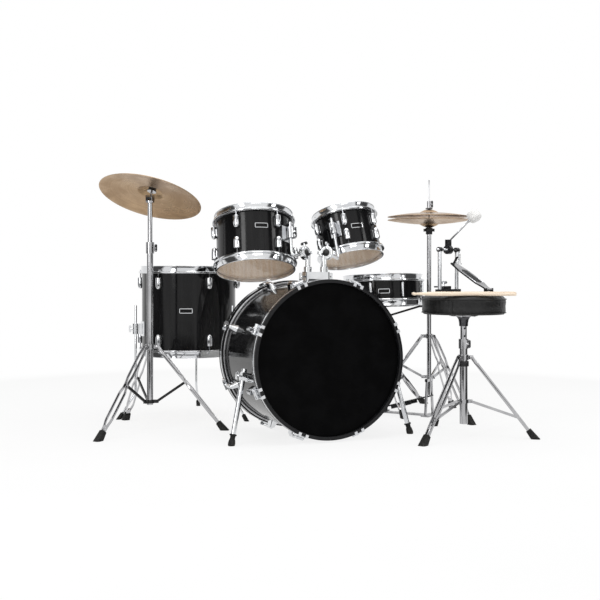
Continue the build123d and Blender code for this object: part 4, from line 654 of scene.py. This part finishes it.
def badge(name, body, place, radius, angle, level, width, height):
    """Bare plate on a shell: bright raised rim round a black field, bent to the shell."""
    lift = 0.9
    shape = bmesh.new()
    bmesh.ops.create_grid(shape, x_segments=16, y_segments=4, size=0.5,
                          matrix=Matrix.Diagonal((width, height, 1, 1)))
    corners = [vert for vert in shape.verts if len(vert.link_edges) == 2]
    softened(shape, corners, 0.2 * height, 4, "VERTICES", clamp=False)
    rim = bmesh.ops.inset_region(shape, faces=shape.faces[:], thickness=2.4, depth=0.0, use_even_offset=True,
                                 use_boundary=True)["faces"]
    for face in shape.faces:
        face.material_index = 1
    for face in rim:
        face.material_index = 0
    raised = bmesh.ops.extrude_face_region(shape, geom=rim)["geom"]
    top = [item for item in raised if isinstance(item, bmesh.types.BMVert)]
    bmesh.ops.translate(shape, verts=top, vec=(0, 0, 0.6))
    skirt = [edge for edge in shape.edges if edge.is_boundary]
    lowered = bmesh.ops.extrude_edge_only(shape, edges=skirt)["geom"]
    foot = [item for item in lowered if isinstance(item, bmesh.types.BMVert)]
    bmesh.ops.translate(shape, verts=foot, vec=(0, 0, -lift))
    for vert in shape.verts:
        around = radians(angle) + vert.co.x / radius
        out = radius + lift + vert.co.z
        vert.co = Vector((out * cos(around), out * sin(around), level + vert.co.y))
    bmesh.ops.recalc_face_normals(shape, faces=shape.faces)
    made(name, moved(shape, place), body, [chrome, badge_face])


def vent(name, body, place, radius, angle, level):
    """Eyelet of the shell's air hole, with a black disc in its bore as painted shade of the dark hole."""
    ring = spun([(4.2, -1.0), (4.2, 0.9), (6.2, 1.6), (8.2, 0.5), (8.2, -1.0)], 32, 0.4)
    # Painted shade: a black disc fills the eyelet's bore in place of the dark hole; the shell itself is not
    # cut
    hole = spun([(0, 0.05), (4.4, 0.05), (4.4, -0.9), (0, -0.9)], 32)
    spot = place @ turned(angle) @ shifted(radius, 0, level) @ turned(90, "Y")
    made(name, [(ring, spot, 0), (hole, spot, 1)], body, [chrome, black_plastic])


def drum_body(drum, body, place, radius, depth, wall, top, plate, hole):
    """Shell, heads, hoops, bare plate (angle, level, width, height) and vent (angle, level) of a drum."""
    shell(drum + "_shell", place, radius, depth, wall)
    heads(drum + "_heads", place, radius, depth, 13, 5, top, clear_film)
    pressed_hoops(drum + "_hoops", place, radius, depth)
    badge(drum + "_badge", body, place, radius, *plate)
    vent(drum + "_vent", body, place, radius, *hole)


def lug_casings(drum, body, place, radius, depth, start):
    """Bullet shaped casings over the lugs, their round ends towards the middle of the shell."""
    line = [(0, -27), (5, -26), (9, -22), (11.3, -15), (12, -6), (12, 19.5), (10.5, 21), (0, 21)]
    casing = spun(line, 28, 1.0)
    spots = []
    for step in range(6):
        for side, flip in ((1, 0), (-1, 180)):
            spot = shifted(radius + 8.8, 0, side * (depth / 2 - 57)) @ turned(flip, "X")
            spots.append(place @ turned(start + 60 * step) @ spot)
    made(drum + "_lug_casings", repeated(casing, spots), body, [chrome])


for drum, body, place, radius, depth, first_lug, plate, hole in (
    ("left_tom", "left_tom", left_tom_frame, 149, 203, -73.3, (-97.4, 22, 50, 19), (22, 10)),
    ("right_tom", "right_tom", right_tom_frame, 124, 178, -116.3, (-94.9, 2, 48, 19), (30, 0)),
    ("floor_tom", "kit", floor_tom_frame, 200, 354, -21.3, (-108.2, 4.5, 54, 20), (38, 30)),
):
    drum_body(drum, body, place, radius, depth, 7, coated_film, plate, hole)
    lug_casings(drum, body, place, radius, depth, first_lug)


def ball_clamp(drum, spot, way):
    """Thick shell round the ball's split ring, with an ear in two halves on either side."""
    grip = placed(spot, Vector((0, 0, 1)).cross(way), way)
    ring = spun([(21.3, -10), (24, -10), (25.5, -8.5), (25.5, 8.5), (24, 10), (21.3, 10)], 48, 0.6)
    parts = [(ring, grip, 0)]
    for ear in (1, -1):
        for half in (1, -1):
            parts.append((block(13, 4.6, 18, 0.8), grip @ shifted(ear * 29.5, half * 2.9), 0))
    made(drum + "_ball_clamp", parts, body_of[drum + "_arm"], [chrome])


for side, drum, place in ((-1, "left_tom", left_tom_frame), (1, "right_tom", right_tom_frame)):
    ball_spot = Vector((bass_x + side * 45, -292, 690))
    ball = place.inverted() @ (ball_spot * 0.001)
    dressed(
        drum + "_fittings", [chrome, black_plastic],
        lambda point, low, high, ball=ball: 1 if (point - ball).length < 16.6 else 0, place=place,
    )
    ball_clamp(drum, ball_spot, place.to_3x3() @ Vector((ball.x, ball.y, 0)))
for node in ("left_tom_arm", "right_tom_arm", "floor_tom_fittings"):
    dressed(node, [chrome])
dressed("floor_tom_legs", [chrome, rubber], lambda point, low, high: 1 if high.z < 80 else 0)

# Snare drum with its strands under the lower head
drum_body("snare", "snare_drum", snare_frame, 174, 114, 6, batter_film, (-114.7, -6.5, 50, 20), (160, 0))
dressed(
    "snare_fittings", [chrome],
    lambda point, low, high: None if point.z < -55 and near_axis(point) < 150 else 0, place=snare_frame,
)
dressed("snare_throw_off_lever", [chrome])

strand_place = snare_frame @ turned(24.2)
strand = moved(spun([(0, -125), (0.75, -125), (0.75, 125), (0, 125)], 10), turned(90, "Y"))
strands = repeated(strand, [strand_place @ shifted(0, 2.0 * step - 19.0, -58.4) for step in range(20)])
for side in (1, -1):
    strands.append((block(16, 42, 1.1, 0.4), strand_place @ shifted(side * 131, 0, -58.5), 1))
    strands.append((block(22, 20, 0.5, 0.2), strand_place @ shifted(side * 148, 0, -58.6), 2))
made("snare_wires", strands, "snare_drum",
     [wire("snare wire", strand_place), satin_steel, black_plastic])

# Bass drum
shell("bass_drum_shell", bass_frame, 278, 406, 8)
heads("bass_drum_heads", bass_frame, 278, 406, 22, 9, front_film, batter_film)
hoop_line = [(279.2, -19), (292.2, -19), (292.2, -6.5), (291.8, -6.5), (291.8, 6.5), (292.2, 6.5),
             (292.2, 19), (279.2, 19)]
inlay_line = [(290.9, -5.9), (292.1, -5.9), (292.1, 5.9), (290.9, 5.9)]
hoop_parts = []
for middle in (200.0, -200.0):
    hoop_place = bass_frame @ shifted(0, 0, middle)
    hoop_parts.append((spun(hoop_line, 200, 1.6, bends=3), hoop_place, 0))
    hoop_parts.append((spun(inlay_line, 200, 0.3), hoop_place, 1))
made("bass_drum_hoop_pair", hoop_parts, "kit", [hoop_lacquer, chrome], ("bass_drum_hoops",))
for node, edge in (("bass_drum_lugs", 0.35), ("bass_drum_claws", 0.5), ("bass_drum_brackets", 0.8)):
    dressed(node, [chrome], edge=edge)
vent("bass_drum_vent", "kit", bass_frame, 278, 95, 60)


# Spurs with a bulb shaped rubber foot

def spur(name, side):
    splay = radians(13)
    hub = Vector((bass_x + side * 302, -337, 241))
    outward = Vector((side * cos(splay), 0, sin(splay)))
    drop = Vector((side * sin(splay), 0, -cos(splay))) * (hub.z / cos(splay)) + Vector((0, -33, 0))
    dressed(name, [chrome], lambda point, low, high: None if high.z < 90 else 0)
    bulb = [(0, -42), (13, -42), (13, -37), (9.5, -35), (9.0, -26), (11.5, -20), (13, -10), (12.6, -2),
            (10, 3.5), (0, 5)]
    foot = spun([(radius, drop.length + height) for radius, height in bulb], 40, 1.2)
    moved(foot, placed(hub, outward, drop))
    cut = bmesh.ops.bisect_plane(foot, geom=foot.verts[:] + foot.edges[:] + foot.faces[:],
                                 plane_co=(0, 0, 0.0002), plane_no=(0, 0, -1), clear_outer=True)
    rim = [item for item in cut["geom_cut"] if isinstance(item, bmesh.types.BMEdge)]
    if rim:
        bmesh.ops.holes_fill(foot, edges=rim, sides=0)
    made(name + "_foot", foot, name, [rubber])


spur("left_spur", -1)
spur("right_spur", 1)


# Cymbals

def cymbal(node, place, radius, bell, bell_height, bow, sheet):
    """Bowed plate with a raised bell, lathe turned on both sides, its rim rounded."""
    bell_radii = (6.5, 0.25 * bell, 0.5 * bell, 0.75 * bell)
    upper = [(r, bow + bell_height * (1 - (r / bell) ** 2)) for r in bell_radii]
    for step in range(9):
        share = step / 8
        upper.append((bell + share * (radius - bell), bow * (1 - 0.44 * share - 0.56 * share ** 2)))
    lower = [(r, h - sheet) for r, h in reversed(upper)]
    shape = moved(spun(upper + lower, 180, 0.35), place)
    made(node + "_plate", shape, body_of[node], [bronze(node + " bronze", place)], (node,),
         sharp=40)


tilter_point = Vector((-594, 80.5, 909))
crash_normal = Vector((0.2872, 0.2465, 0.925)).normalized()
crash_frame = leaning(tilter_point, crash_normal)
cymbal("crash_cymbal", leaning(tilter_point + crash_normal * 2.6, crash_normal), 203, 56, 21, 22, 1.6)
hat_spot = (606.5, 12.5)
for node, height, up in (("hi_hat_top_cymbal", 856.4, 1), ("hi_hat_bottom_cymbal", 841.6, -1)):
    cymbal(node, leaning((*hat_spot, height), (0, 0, up)), 178, 42, 15, 17, 1.4)


# Legs of the stands

def rubber_feet(point, low, high):
    return 1 if high.z < 90 else 0


def foot_only(point, low, high):
    return 0 if high.z < 90 else None


def folding_leg(node, place, angle, *form):
    """Leg on its own body: the CAD piece's foot, and new bars."""
    dressed(node, [rubber], foot_only)
    bars = double_leg(place, angle, *form)
    made(node + "_bars", bars, body_of[node], [stand_chrome], (node,))


def fixed_legs(node, place, start, *form):
    """New bars for the three legs of a stand that doesn't fold."""
    bars = []
    for step in range(3):
        bars += double_leg(place, start + 120 * step, *form)
    made(node + "_legs", bars, body_of[node], [stand_chrome], (node,))


# Crash cymbal stand

def tilter_finish(point, low, high):
    if near_axis(point) < 4.3:
        return 0
    if 31.7 < point.z < 42.1 or 45.7 < point.z < 56.0:
        return 1
    return 2 if 18 < point.z < 31.7 else 0


def crash_base_finish(point, low, high):
    ring = 690 < point.z < 709 and 12.7 < near_axis(point) < 17.2
    collar = 104 < point.z < 120 and near_axis(point) > 12.7
    return 1 if ring or collar else 0


crash_place = standing(*tilter_point.xy)
dressed("cymbal_tilter", [stand_chrome, dark_felt, black_plastic], tilter_finish, place=crash_frame)
dressed("cymbal_stand_upper_tube", [stand_chrome])
dressed("cymbal_stand_base_tube", [stand_chrome, black_plastic], crash_base_finish, place=crash_place)
dressed("cymbal_stand_leg_collar", [satin_steel])
for number in (1, 2, 3):
    folding_leg(f"cymbal_stand_leg_{number}", crash_place, 120 * number - 142.3, 326, 292, 0.42, 4.0, 6.5)
    dressed(f"cymbal_stand_brace_{number}", [black_paint])


# Snare stand

def basket_finish(point, low, high):
    return 1 if high.z - low.z < 45 and near_axis(point) > 170 else 0


def snare_stand_finish(point, low, high):
    if low.z < 60 and 220 < high.z < 270:
        return None
    return rubber_feet(point, low, high)


dressed("snare_stand", [stand_chrome, rubber], snare_stand_finish)
fixed_legs("snare_stand", standing(*snare_spot), 21.6, 240, 280, 0.42, 3.0, 4.0)
dressed("snare_basket", [black_paint, rubber], basket_finish, place=snare_frame)


# Hi-hat

def hat_stand_finish(point, low, high):
    if low.z < 60 and 325 < high.z < 375:
        return None
    if 36 < high.z < 90 and near_axis(point) > 200:
        return 1
    if point.z > 804.2:
        return 3
    if point.z > 779 and near_axis(point) > 9.7:
        return 2
    if high.z < 36:
        return 4 if near_axis(point) > 195 else 5
    return 0


def pull_rod_finish(point, low, high):
    if point.z < 160 and near_axis(point) > 3.1:
        return 2
    if near_axis(point) > 9.2 and (873 < point.z < 884 or 888 < point.z < 894.5):
        return 1
    return 0


hat_frame = standing(*hat_spot)
dressed("hi_hat_stand", [stand_chrome, rubber, black_plastic, dark_felt, black_paint, cast_metal],
        hat_stand_finish, place=hat_frame)
dressed("hi_hat_pull_rod", [stand_chrome, dark_felt, black_plastic], pull_rod_finish, place=hat_frame)
fixed_legs("hi_hat_stand", hat_frame, 38.7, 343, 280, 0.36, 4.0, 6.5)
dressed("hi_hat_footboard", [black_paint], edge=0.8)
hat_board = hat_frame @ turned(129) @ held((212, 0, 24), (-1, 0, 0), (60, 0, 212))
flanges = [(block(97, 3, 13, 0.8), hat_board @ shifted(97, side * 34.3, -9.2), 0) for side in (1, -1)]
made("hi_hat_footboard_flanges", flanges, "hi_hat_footboard", [black_paint])


# Throne

throne_spot = Vector((472.5, -496.5, 0))
throne_frame = standing(*throne_spot.xy)
for number in (1, 2, 3):
    folding_leg(f"throne_leg_{number}", throne_frame, 120 * number - 153.7, 298, 262, 0.741, 2.5, 0.0)
    dressed(f"throne_brace_{number}", [stand_chrome])
for node in ("throne_base_tube", "throne_brace_collar", "throne_post"):
    dressed(node, [stand_chrome])
sleeve = spun([(15.2, 264), (19.5, 264), (19.5, 284), (15.2, 284)], 48, 1.4)
made("throne_sleeve", moved(sleeve, throne_frame), "kit", [black_plastic])


def evaluated_mesh(piece):
    return bpy.data.meshes.new_from_object(piece.evaluated_get(bpy.context.evaluated_depsgraph_get()))


def swollen(shape, lift, rest):
    """Stuffed form of a closed cover: remeshed, blown up by cloth pressure, moved no further than lift.
    What lies below rest stays in place."""
    cover = put("cover", mesh_of(shape, "cover"))
    remesh = cover.modifiers.new("even faces", "REMESH")
    remesh.mode = "VOXEL"
    remesh.voxel_size = 0.005
    even = evaluated_mesh(cover)
    cover.modifiers.remove(remesh)
    cover.data = even
    start = [vert.co.copy() for vert in even.vertices]
    ends = start
    frames = 20
    cloth = cover.modifiers.new("stuffing", "CLOTH")
    cloth.settings.use_pressure = True
    cloth.settings.uniform_pressure_force = 4.0
    cloth.settings.effector_weights.gravity = 0.0
    cloth.settings.quality = 5
    cloth.point_cache.frame_start = 1
    cloth.point_cache.frame_end = frames
    for step in range(1, frames + 1):
        scene.frame_set(step)
    blown = evaluated_mesh(cover)
    ends = [vert.co.copy() for vert in blown.vertices]
    cover.modifiers.remove(cloth)
    scene.frame_set(1)
    bpy.data.meshes.remove(blown)
    for vert, first, last in zip(even.vertices, start, ends):
        move = last - first
        if move.length > lift:
            move *= lift / move.length
        if first.z >= rest:
            vert.co = first + move
    result = bmesh.new()
    result.from_mesh(even)
    bpy.data.objects.remove(cover)
    return result


seam_angle = -137.5
seam_width = 0.005
welt_height = 0.5175
seat_top = 0.5358
seat_line = [(0, 463), (148, 463), (154, 464), (157.5, 468), (157.5, 476), (156, 490), (157, 504),
             (157.8, 514), (154, 523), (146, 529), (136, 531.2), (100, 532.4), (50, 533.2), (0, 533.5)]
cushion = swollen(moved(spun(seat_line, 120), throne_frame), 0.0022, 0.4655)
for vert in cushion.verts:
    out = Vector((vert.co.x - throne_spot.x * 0.001, vert.co.y - throne_spot.y * 0.001, 0))
    reach = out.length
    if reach > 0.13:
        welt = max(0.0, 1.0 - abs(vert.co.z - welt_height) / seam_width)
        around = (degrees(atan2(out.y, out.x)) - seam_angle + 180) % 360 - 180
        upright = 0.0
        if 0.468 < vert.co.z < 0.517:
            upright = max(0.0, 1.0 - abs(radians(around) * reach) / seam_width)
        pucker = 0.0005 * sin(around * 0.9) * max(0.0, 1.0 - abs(vert.co.z - 0.51) / 0.02)
        vert.co -= out.normalized() * (0.0022 * welt * welt + 0.003 * upright * upright + pucker)
    vert.co.z = min(vert.co.z, seat_top)
seat = made("throne_cushion", cushion, "throne_seat", [vinyl], ("throne_seat",), sharp=80)
smooth = seat.modifiers.new("smooth cover", "SUBSURF")
smooth.levels = 1
smooth.render_levels = 1

piping = []
for radius, height in ((157.9, 517.5), (156.5, 467)):
    cord = [(radius + 1.5 * cos(step * pi / 4), height + 1.5 * sin(step * pi / 4)) for step in range(8)]
    piping.append((spun(cord, 160), throne_frame, 0))
made("throne_piping", piping, "throne_seat", [vinyl])

stitch = spun([(0, -1.9), (0.45, -1.6), (0.55, 0), (0.45, 1.6), (0, 1.9)], 6)
stitch_places = []
for aside in (-2.56, 2.56):
    seam = throne_frame @ turned(seam_angle + degrees(aside / 158))
    for step in range(9):
        height = 472 + 4.7 * step
        waist = 158.4 - 1.6 * sin(pi * (height - 466) / 52)
        stitch_places.append(seam @ shifted(waist, 0, height))
made("throne_stitches", repeated(stitch, stitch_places), "throne_seat", [thread])

flange = spun([(0, 453), (53, 453), (54, 455), (54, 462), (0, 462)], 64, 1.2)
cone = spun([(13.2, 415), (16.5, 415), (17.2, 428), (19.5, 440), (24, 448), (31, 452.9), (20, 452.9),
             (13.2, 452.9)], 48, 0.8)
plate = spun([(54.5, 461.2), (150, 461.2), (150, 463.2), (54.5, 463.2)], 96, 0.6)
under = [(flange, throne_frame, 0), (cone, throne_frame, 3), (plate, throne_frame, 1)]
bolt = spun([(0, 450.5), (5.2, 450.5), (5.2, 453.2), (0, 453.2)], 6, 0.5)
under += repeated(bolt, [throne_frame @ turned(45 + 90 * step) @ shifted(40) for step in range(4)], 2)
made("throne_seat_underside", under, "throne_seat", [satin_steel, board, chrome, dark_metal])


# Bass drum pedal on the seat

pedal_place = standing(499.5, -469.5, 536.3, 116.7)
board_place = pedal_place @ held((-98, 0, 16), (1, 0, 0), (-100, 0, 156))
beater_hub = Vector((80, 0, 198))
beater_lean = radians(50)
beater_way = Vector((-sin(beater_lean), 0, cos(beater_lean)))


def pedal_finish(point, low, high):
    if point.z > 155:
        return 1
    if abs(point.y) > 50 and point.z > 17:
        return 0
    if point.x < -85:
        return 2
    return 0 if point.x > 96 and point.z > 5 else 1


def board_finish(point, low, high):
    return 0 if point.z > 2.6 and point.x < 176 else 1


def beater_finish(point, low, high):
    away = (point - beater_hub).dot(beater_way)
    if away > 124.5:
        return None
    return 1 if abs(point.y) < 11 and away < 18 else 0


dressed("pedal_frame", [chrome, dark_metal, black_paint], pedal_finish, place=pedal_place)
dressed("pedal_footboard", [cast_metal, black_paint], board_finish, edge=0.8, place=board_place)
tread = []
for step in (-2, -1, 0, 1, 2):
    tread.append((block(92 - 6 * abs(step), 3.4, 1.6, 0.6), board_place @ shifted(90, 7.6 * step, 3.4), 0))
for side in (1, -1):
    tread.append((block(86, 2.0, 1.4, 0.5), board_place @ shifted(89, side * 27, 3.3), 1))
made("pedal_tread", tread, "pedal_footboard", [black_plastic, chrome])

# Felt beater on its rod
dressed("pedal_beater", [chrome, dark_metal], beater_finish, place=pedal_place)
felt_line = [(0, -20), (17, -20), (22.5, -17.5), (25, -12), (25, 12), (22.5, 17.5), (17, 20), (0, 20)]
felt_head = spun(felt_line, 64, 2.0, bends=3)
felt_place = pedal_place @ held(beater_hub + beater_way * 150, (0, 1, 0), (beater_way.z, 0, -beater_way.x))
ferrule = spun([(3.3, 0), (6.0, 0), (6.0, 9), (3.3, 9)], 32, 0.6)
ferrule_place = pedal_place @ held(beater_hub + beater_way * 117, (0, 1, 0), beater_way)
made("pedal_beater_head", [(felt_head, felt_place, 0), (ferrule, ferrule_place, 1)], "pedal_beater",
     [white_felt, chrome], ("pedal_beater",))

# Sticks
stick_turn = radians(161.7)
stick_way = Vector((cos(stick_turn), sin(stick_turn), 0))
stick_aside = Vector((stick_way.y, -stick_way.x, 0))
stick_line = [(0, 0), (4.2, 0.2), (6.3, 1.6), (7.1, 4.5), (7.2, 10), (7.2, 285), (6.6, 312), (5.4, 336),
              (4.0, 356), (3.2, 365.6), (4.3, 368), (5.0, 372.5), (4.2, 377.5), (2.4, 379.6), (0, 380)]
for number in (0, 1):
    middle = Vector((404.8, -616.6, 0)) + stick_aside * 18 * number
    reach = (middle - throne_spot).dot(stick_aside)
    level = 536 - 5 * (reach / 141) ** 2 + 7.5    # on the crown of the seat
    place = placed(middle - stick_way * 190 + Vector((0, 0, level)), (0, 0, 1), stick_way)
    stick = moved(spun(stick_line, 40), place)
    hickory = wood(f"stick wood {number + 1}", place, 22.0, 70.0, (0.88, 0.76, 0.62), (0.66, 0.52, 0.38),
                   60.0, 0.34, 0.48, 0.0002)
    made(f"drum_stick_{number + 1}", stick, "drum_sticks", [hickory], ("drum_sticks",),
         sharp=60)


# White floor, soft light and camera

def seen_and_glossy(tree):
    """Share of rays that show a surface to the eye, and share of those that reflections send."""
    light = tree.nodes.new("ShaderNodeLightPath").outputs
    glossy = light["Is Glossy Ray"]
    return largest(light["Is Camera Ray"], glossy, light["Is Transmission Ray"]), glossy


def direction_round(way):
    return add_node(way.id_data, "TexGradient", {"gradient_type": "RADIAL"}, Vector=way).outputs["Fac"]


def unlit_gaps(around):
    right = times(spread(around, 0.315, 0.345), spread(around, 0.485, 0.515, 1.0, 0.0))
    left = largest(spread(around, 0.012, 0.035, 1.0, 0.0), spread(around, 0.9, 0.925))
    return largest(right, left)


gap_light = 0.07    # light left in the unlit gaps, seen in reflections alone


def white_ground(name):
    material = bpy.data.materials.new(name)
    material.use_nodes = True
    tree = material.node_tree
    tree.nodes.clear()
    coords = tree.nodes.new("ShaderNodeTexCoord").outputs["Object"]
    far = length_of(coords)
    seen, glossy = seen_and_glossy(tree)
    share = times(largest(spread(far, 1.2, 2.6), 0.83), seen)
    around = direction_round(coords)
    gap = times(unlit_gaps(around), spread(far, 1.0, 1.5))
    front = times(
        spread(around, 0.06, 0.08), spread(around, 0.22, 0.24, 1.0, 0.0),
        spread(far, 1.5, 1.8), spread(far, 4.5, 5.5, 1.0, 0.0),
    )
    gap = times(largest(gap, front), glossy)
    paper = add_node(tree, "BsdfDiffuse", Color=mixed(
        times(gap, 1.0 - gap_light), tone(coords, 3.0, (0.86, 0.86, 0.86), (0.84, 0.84, 0.84)), (0, 0, 0),
    ))
    glow = add_node(tree, "Emission", Color=(1, 1, 1), Strength=spread(gap, 0.0, 1.0, 1.0, gap_light))
    blend = add_node(tree, "MixShader", Fac=share)
    fill(blend.inputs[1], paper.outputs[0])
    fill(blend.inputs[2], glow.outputs[0])
    add_node(tree, "OutputMaterial", Surface=blend.outputs[0])
    return material


ground = bmesh.new()
bmesh.ops.create_grid(ground, x_segments=8, y_segments=8, size=14.0, matrix=shifted(0, 0, -0.0004))
ground_mesh = mesh_of(ground, "floor")
ground_mesh.materials.append(white_ground("floor white"))
floor = put("floor", ground_mesh)

# Reflections show the white backdrop and front screen, with the unlit room in the gaps between them
world = bpy.data.worlds.new("studio")
scene.world = world
world.use_nodes = True
tree = world.node_tree
tree.nodes.clear()
seen, glossy = seen_and_glossy(tree)
way = tree.nodes.new("ShaderNodeTexCoord").outputs["Generated"]
height = add_node(tree, "SeparateXYZ", Vector=way).outputs["Z"]
gap = unlit_gaps(direction_round(way))
gap = times(gap, spread(height, 0.5, 0.8, 1.0, 0.0), glossy)
strength = times(plus(times(seen, 0.5), 0.5), spread(gap, 0.0, 1.0, 1.0, gap_light))
sky = add_node(tree, "Background", Color=(1, 1, 1), Strength=strength)
add_node(tree, "OutputWorld", Surface=sky.outputs[0])

for name, spot, aim, width, height, power in (
    ("top softbox", (0.0, -0.3, 3.4), 0.3, 3.2, 3.2, 70),
    ("left softbox", (-3.4, -2.2, 1.9), 0.5, 0.8, 2.6, 38),
    ("right softbox", (2.9, -3.0, 1.9), 0.5, 0.8, 2.6, 30),
    ("front softbox", (-1.2, -5.2, 2.6), 0.4, 2.4, 1.2, 40),
):
    lamp = bpy.data.lights.new(name, "AREA")
    lamp.shape = "RECTANGLE"
    lamp.size, lamp.size_y, lamp.energy = width, height, power
    box = put(name, lamp)
    box.location = spot
    box.rotation_euler = (Vector((0, 0, aim)) - Vector(spot)).to_track_quat("-Z", "Y").to_euler()

# Camera fitted to the photograph: focal length and shift in parts of its 600 pixels
photo_width = 600
camera_data = bpy.data.cameras.new("camera")
camera_data.sensor_width = 36.0
camera_data.lens = 36.0 * 965 / photo_width
camera_data.shift_y = -28.0 / photo_width
camera_data.clip_end = 100.0
camera = put("camera", camera_data)
camera.location = (-1.4205, -3.6565, 0.6185)
camera.rotation_euler = (pi / 2, 0, -atan2(0.3633, 0.9317))
scene.camera = camera

scene.view_settings.view_transform = "Standard"
